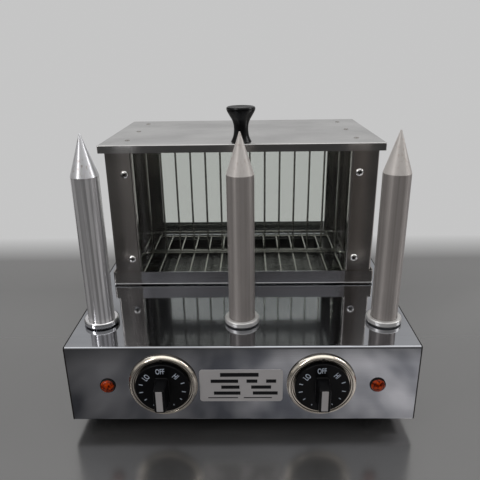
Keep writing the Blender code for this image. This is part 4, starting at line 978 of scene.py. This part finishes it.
def lamps():
    """Amber domes, each in a near-black ring of painted shadow."""
    for name, _ in SIDES:
        node = f"indicator_lamp_{name}"
        lens = Extent(node)
        radius = lens.size.x / 2
        at = (lens.middle.x, FRONT_Y, lens.middle.z)
        proud = FRONT_Y - lens.low.y
        rim = proud * LENS_RIM_SHARE
        shank = radius * SHANK_SHARE
        depth = lens.high.y - FRONT_Y
        profile = domed(radius, proud - rim, 12, rim)
        profile += [(radius, FIT_GAP), (shank, FIT_GAP), (shank, -depth), (0, -depth)]
        bm = settle(turned(profile, LENS_SIDES), at, FACING_FRONT)
        piece(f"lamp_lens_{name}", bm, "amber", node=node, sharp=LENS_SHARP_ANGLE)
        # A near-black ring round the lens: painted shadow
        outer = radius + SHADE_RING_WIDTH
        ring = [(radius, rim), (outer, rim * SHADE_RING_SHARE), (outer, FIT_GAP), (radius, FIT_GAP)]
        bm = settle(turned(ring, SHADE_RING_SIDES, ring=True), at, FACING_FRONT)
        piece(f"lamp_surround_painted_shade_{name}", bm, "gap_painted_shade")


def data_plate():
    """A plain foil plate with blank printed fields."""
    at = Vector((PLATE_CENTRE_X, FRONT_Y, DECK_Z - PLATE_DROP))
    bm = slab(PLATE_WIDTH, PLATE_HEIGHT, PLATE_THICKNESS, PLATE_CORNER, EASED_EDGE)
    piece("data_plate", settle(bm, at, FACING_FRONT), "plate")
    rows = []
    for x, y, width, height in FIELD_SHARES:
        middle = (PLATE_WIDTH * x, PLATE_HEIGHT * y, PLATE_THICKNESS)
        rows.append((middle, (PLATE_WIDTH * width, PLATE_HEIGHT * height, 2 * INK_HEIGHT), 0))
    piece("data_plate_fields", settle(blocks(rows), at, FACING_FRONT), "field")


def warming_case():
    """Side panels, foot bands and rails, all bent from sheet."""
    for name, side in SIDES:
        for stem, label in (("case_side", "side_panel"), ("case_foot_band", "foot_band")):
            node = f"{stem}_{name}"
            sheet = Extent(node)
            outer, inner = sheet.flank(side)
            near, far = sheet.low.y, sheet.high.y
            corners = [(inner, near), (outer, near), (outer, far), (inner, far)]
            if stem == "case_side":
                corners = [(inner, near + CASE_LIP), *corners, (inner, far - CASE_LIP)]
            bm = strip(corners, CASE_BEND, (sheet.low.z, sheet.high.z), side)
            piece(f"{label}_{name}", settle(bm), "case", node=node)
    for node, inward in RAILS:
        rail = Extent(node)
        ends = (rail.low.y, rail.high.y)
        face, far = ends if inward > 0 else reversed(ends)
        if "top" in node:
            corners = [(face, rail.low.z), (face, rail.high.z), (far, rail.high.z)]
        else:
            corners = [(far, rail.low.z), (face, rail.low.z), (face, rail.high.z)]
        bm = strip(corners, RAIL_BEND, (rail.low.x, rail.high.x), -inward)
        piece(f"{node}_sheet", settle(bm, facing=FACING_RIGHT), "rail", node=node)
    band = Extent("case_foot_band_right")
    outline = rectangle(2 * band.high.x, band.size.y, (0, band.middle.y))
    level = band.low.z + HEM_RADIUS
    hem = [(*point, level) for point in filleted(outline, CASE_BEND, closed=True)]
    piece("case_foot_hem", wires([(hem, HEM_RADIUS, True)], HEM_SIDES), "hem")


def screw(name, at, facing, turn, node=None):
    """A dome screw with a cross recess, turned by an angle; the recess's inner faces are painted
    dark as shade.
    """
    shank = SCREW_RADIUS * SCREW_SHANK_SHARE
    profile = domed(SCREW_RADIUS, SCREW_DOME, 12, FIT_GAP)
    profile += [(shank, FIT_GAP), (shank, -SCREW_SHANK), (0, -SCREW_SHANK)]
    crown = (0, 0, FIT_GAP + SCREW_DOME)
    bar = (RECESS_LENGTH, RECESS_WIDTH, 2 * RECESS_DEPTH)
    bars = [blocks([(crown, bar, turn + more)]) for more in (0, 90)]
    bm = carved(turned(profile, SCREW_SIDES), bars)
    # Faces sunk below the dome get the near-black recess finish: painted shade inside the recess
    for face in bm.faces:
        middle = face.calc_center_median()
        away = Vector((middle.x, middle.y)).length
        if FIT_GAP < middle.z and away < RECESS_LENGTH * RECESS_REACH_SHARE:
            top = FIT_GAP + SCREW_DOME * math.sqrt(1 - (away / SCREW_RADIUS) ** 2)
            face.material_index = int(middle.z < top - RECESS_SKIN)
    made = piece(name, settle(bm, at, facing), "screw", node=node)
    made.data.materials.append(MATERIALS["recess"])


def screws():
    """Screws in front, and the same ones through the rear flanges."""
    panel = Extent("case_side_left")
    for name, side in SIDES:
        for level, turn in SCREW_TURNS:
            node = f"case_screw_{level}_{name}"
            there = Extent(node).middle
            at = (there.x, panel.low.y, there.z)
            front_turn = turn + FRONT_TURN * side
            screw(f"dome_screw_{level}_{name}", at, FACING_FRONT, front_turn, node)
            at = (there.x, panel.high.y, there.z)
            screw(f"rear_screw_{level}_{name}", at, FACING_REAR, turn + REAR_TURN * side)


def lid():
    """The pressed lid with its rivets and flared knob."""
    bm = tray(LID.size.x, LID.size.y, LID.size.z, LID_CORNER, LID_BEND)
    settle(bm, (0, LID.middle.y, LID.high.z))
    piece("lid_cover", bm, "lid", "lid", "lid")
    knob = Extent("lid_knob")
    radius = knob.size.x / 2
    profile = [Vector((radius * r, knob.size.z * h)) for r, h in KNOB_SHARES]
    bm = turned(smoothed(profile, *KNOB_FLARE))
    settle(bm, (knob.middle.x, knob.middle.y, knob.low.z))
    piece("lid_handle", bm, "black", "lid", "lid_knob")
    rivet = [*domed(RIVET_RADIUS, RIVET_DOME, 6), (RIVET_RADIUS, -SHEET), (0, -SHEET)]
    for name, _ in SIDES:
        x = Extent(f"lid_stiffener_{name}").middle.x
        for index, setback in enumerate(RIVET_PLACES):
            bm = settle(turned(rivet, RIVET_SIDES), (x, LID.low.y + setback, LID.high.z))
            piece(f"lid_rivet_{name}_{index + 1}", bm, "rivet", "lid")


def basket():
    """The grid with its two rim loops, and the divider that stands between them."""
    grid = Extent("basket_floor")
    divider = Extent("basket_divider")
    bearer_z = grid.low.z + FLOOR_WIRE
    floor_z = bearer_z + 2 * FLOOR_WIRE
    rim_z = grid.high.z - RIM_WIRE
    places = [(index - (WIRE_COUNT - 1) / 2) * WIRE_PITCH for index in range(WIRE_COUNT)]
    runs = []
    slot_y = divider.middle.y
    front_loop = (grid.low.y + RIM_WIRE, slot_y - DIVIDER_SLOT / 2)
    rear_loop = (slot_y + DIVIDER_SLOT / 2, grid.high.y - RIM_WIRE)
    for near, far in (front_loop, rear_loop):
        corners = rectangle(grid.size.x - 2 * RIM_WIRE, far - near, (0, (near + far) / 2))
        path = filleted(corners, BASKET_CORNER, 10, closed=True)
        runs.append(([(*point, rim_z) for point in path], RIM_WIRE, True))
    for x in places:
        ends = [(x, grid.low.y, floor_z), (x, grid.high.y, floor_z)]
        runs.append((ends, FLOOR_WIRE, False))
    half = places[-1] + WIRE_OVERHANG
    for y in (grid.low.y + BEARER_INSET, grid.high.y - BEARER_INSET):
        runs.append(([(-half, y, bearer_z), (half, y, bearer_z)], FLOOR_WIRE, False))
    piece("basket_grid", wires(runs), "wire", "basket", "basket_floor")
    low = divider.low.z + RIM_WIRE
    high = divider.high.z - RIM_WIRE
    runs = [([(-half, slot_y, z), (half, slot_y, z)], RIM_WIRE, False) for z in (low, high)]
    runs += [([(x, slot_y, low), (x, slot_y, high)], FLOOR_WIRE, False) for x in places]
    piece("basket_grille", wires(runs), "wire", "basket", "basket_divider")


def gland():
    """The cord gland in the rear panel."""
    node = "cord_gland"
    there = Extent(node)
    reach = there.high.y - REAR_Y
    inner = REAR_Y - there.low.y
    radius = there.size.x / 2
    bore = radius * GLAND_BORE_SHARE
    head = radius * GLAND_HEAD_SHARE
    groove = radius * GLAND_GROOVE_SHARE
    corners = [
        (bore, reach), (radius * GLAND_NECK_SHARE, reach), (head, reach * GLAND_TAPER_SHARE),
        (head, 0.0), (groove, 0.0), (groove, -SHEET), (radius, -SHEET), (radius, -inner),
        (bore, -inner),
    ]
    radii = [0.0, GLAND_ROUND, GLAND_ROUND, 0.0, 0.0, 0.0, GLAND_EDGE, GLAND_EDGE, 0.0]
    bm = turned(filleted(corners, radii, 6), GLAND_SIDES, ring=True)
    settle(bm, (there.middle.x, REAR_Y, there.middle.z), FACING_REAR)
    piece("gland_body", bm, "black", node=node)


def dress_nodes():
    """Give the nodes that stay their finishes."""
    for finish, nodes in KEPT.items():
        for node in nodes:
            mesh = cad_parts[node].data
            mesh.materials.clear()
            mesh.materials.append(MATERIALS[finish])


def camera():
    """The camera at the photograph's viewing angle."""
    data = bpy.data.cameras.new("camera")
    data.lens = CAMERA_LENS
    data.sensor_width = SENSOR
    data.shift_x, data.shift_y = CAMERA_SHIFT_SHARES
    data.clip_start, data.clip_end = CAMERA_CLIP
    obj = placed("camera", data)
    yaw = Matrix.Rotation(-CAMERA_YAW, 4, "Z")
    pitch = Matrix.Rotation(math.pi / 2 - CAMERA_PITCH, 4, "X")
    roll = Matrix.Rotation(CAMERA_ROLL, 4, "Z")
    place = Vector((0, FRONT_Y, DECK_Z)) + CAMERA_FROM_FRONT
    obj.matrix_world = Matrix.Translation(place) @ yaw @ pitch @ roll
    bpy.context.scene.camera = obj


def lamp(name, place, aim, size, power):
    """A soft rectangular lamp."""
    data = bpy.data.lights.new(name, "AREA")
    data.shape = "RECTANGLE"
    data.size, data.size_y = size
    data.energy = power
    direction = Vector(aim) - Vector(place)
    turn = direction.to_track_quat("-Z", "Y").to_matrix().to_4x4()
    placed(name, data).matrix_world = Matrix.Translation(place) @ turn


def seen_rays(made):
    """One where a camera, mirror or glass ray arrives, and nought for light on the object."""
    seen = made.math("MAXIMUM", made.ray("Camera"), made.ray("Glossy"))
    return made.math("MAXIMUM", seen, made.ray("Transmission"))


def floor_finish():
    """A pale bench, polished in front of the object, that turns into the pale backdrop."""
    made = Finish("studio_floor")
    mirrored = made.ray("Glossy")
    tone = made.noise(6.0, detail=4.0)
    depth = made.axis("Y")
    away = made.node("ShaderNodeVectorMath", {0: made.place}, operation="LENGTH").outputs["Value"]
    near = made.math(
        "MULTIPLY", made.spread(away, 1, 0, *NEAR_ENDS), made.spread(depth, 1, 0, *REAR_ENDS)
    )
    low = shaded((0.97, 0.96, 0.95), FLOOR_TONE)
    high = shaded((1.06, 1.05, 1.04), FLOOR_TONE)
    bench = made.scaled(made.mix(tone, low, high), made.spread(near, 0.70, 1))
    shapes = made.noise(11.0, (1.5, 0.8, 1), 2.5)
    patches = made.mix(
        made.spread(near, 0.40, made.spread(shapes, 0, 1, 0.38, 0.64)),
        shaded((0.46, 0.47, 0.52), FLOOR_TONE),
        shaded((1.75, 1.70, 1.70), FLOOR_TONE),
    )
    sides = made.spread(made.axis("X"), 0.10, 1.95, *ACROSS_ENDS)
    bench = made.mix(mirrored, bench, made.scaled(patches, sides))
    dim = made.math("MULTIPLY", made.spread(depth, 0, 1, *ROOM_ENDS), mirrored)
    slant = made.node("ShaderNodeLayerWeight", {"Blend": 0.5}).outputs["Facing"]
    polish = made.spread(slant, 0.15, 0.88, 0.08, 0.20)
    polish = made.math("MULTIPLY", polish, made.spread(near, 0.15, 1))
    made.set(
        Base_Color=made.mix(dim, bench, grey(ROOM_TONE)),
        Roughness=made.spread(near, 0.55, made.spread(tone, 0.15, 0.24)),
        Specular_IOR_Level=0.3,
        Metallic=made.spread(mirrored, polish, 0.35),
    )
    glow = made.node("ShaderNodeEmission", {"Color": (*grey(PALE), 1.0), "Strength": 1.0})
    wall = made.math("MULTIPLY", made.spread(depth, 0, 1, *WALL_ENDS), seen_rays(made))
    backdrop = made.spread(away, 0, 1, *BACKDROP_ENDS)
    backdrop = made.math("MULTIPLY", backdrop, made.ray("Camera"))
    made.cover(made.math("MAXIMUM", wall, backdrop), glow.outputs[0])
    return made.material


def room():
    """A world that is pale behind the object and a dim room with a ceiling before it."""
    world = bpy.data.worlds.new("studio_world")
    bpy.context.scene.world = world
    world.use_nodes = True
    made = Surroundings(world.node_tree)
    direction = made.node("ShaderNodeSeparateXYZ", {0: made.place})
    across, depth, height = (direction.outputs[name] for name in "XYZ")
    away = made.math("ABSOLUTE", across)
    ahead = made.spread(depth, 1, 0, *AHEAD_ENDS)
    aside = made.math("MULTIPLY", made.spread(away, 0, 1, *ASIDE_ENDS), ahead)
    above = made.spread(height, 0, 1, *CEILING_ENDS)
    shapes = made.noise(3.2, (1.6, 1.6, 0.25), 2.0)
    clutter = made.mix(
        made.spread(shapes, 0, 1, 0.40, 0.62),
        shaded((0.45, 0.43, 0.42), ROOM_TONE),
        shaded((2.6, 2.45, 2.4), ROOM_TONE),
    )
    clutter = made.mix(made.spread(height, 0, 1, *CLUTTER_ENDS), grey(ROOM_TONE), clutter)
    dim = made.mix(made.math("MAXIMUM", above, aside), clutter, grey(CEILING_TONE))
    off_slit = made.math("ABSOLUTE", made.math("SUBTRACT", across, SLIT_PLACE))
    slit = made.math("MULTIPLY", made.spread(off_slit, 1, 0, *SLIT_ENDS), ahead)
    dim = made.mix(slit, dim, grey(PALE))
    behind = made.spread(depth, 0, 1, *BEHIND_ENDS)
    behind = made.math("MULTIPLY", behind, made.spread(away, 1, 0, *BEHIND_SIDE_ENDS))
    tone = made.mix(behind, dim, grey(PALE))
    soft = made.mix(made.spread(height, 0, 1, *SOFT_ENDS), grey(LOW_TONE), grey(PALE))
    straight = made.math("MAXIMUM", made.ray("Camera"), made.ray("Transmission"))
    soft = made.mix(straight, soft, grey(PALE))
    seen = made.mix(made.ray("Glossy"), soft, tone)
    made.feed(world.node_tree.nodes["Background"].inputs["Color"], seen)


def studio():
    """A pale floor, soft lamps and the room."""
    bm = bmesh.new()
    bmesh.ops.create_circle(bm, cap_ends=True, segments=TURNED_SIDES, radius=FLOOR_RADIUS)
    floor = solid("floor", bm)
    floor.data.materials.append(floor_finish())
    for name, settings in STUDIO_LAMPS.items():
        lamp(name, *settings)
    room()
    bpy.context.scene.view_settings.view_transform = "Standard"


base_housing()
spikes()
for control_name, _ in SIDES:
    control(control_name)
lamps()
data_plate()
warming_case()
screws()
lid()
basket()
gland()
dress_nodes()
camera()
studio()
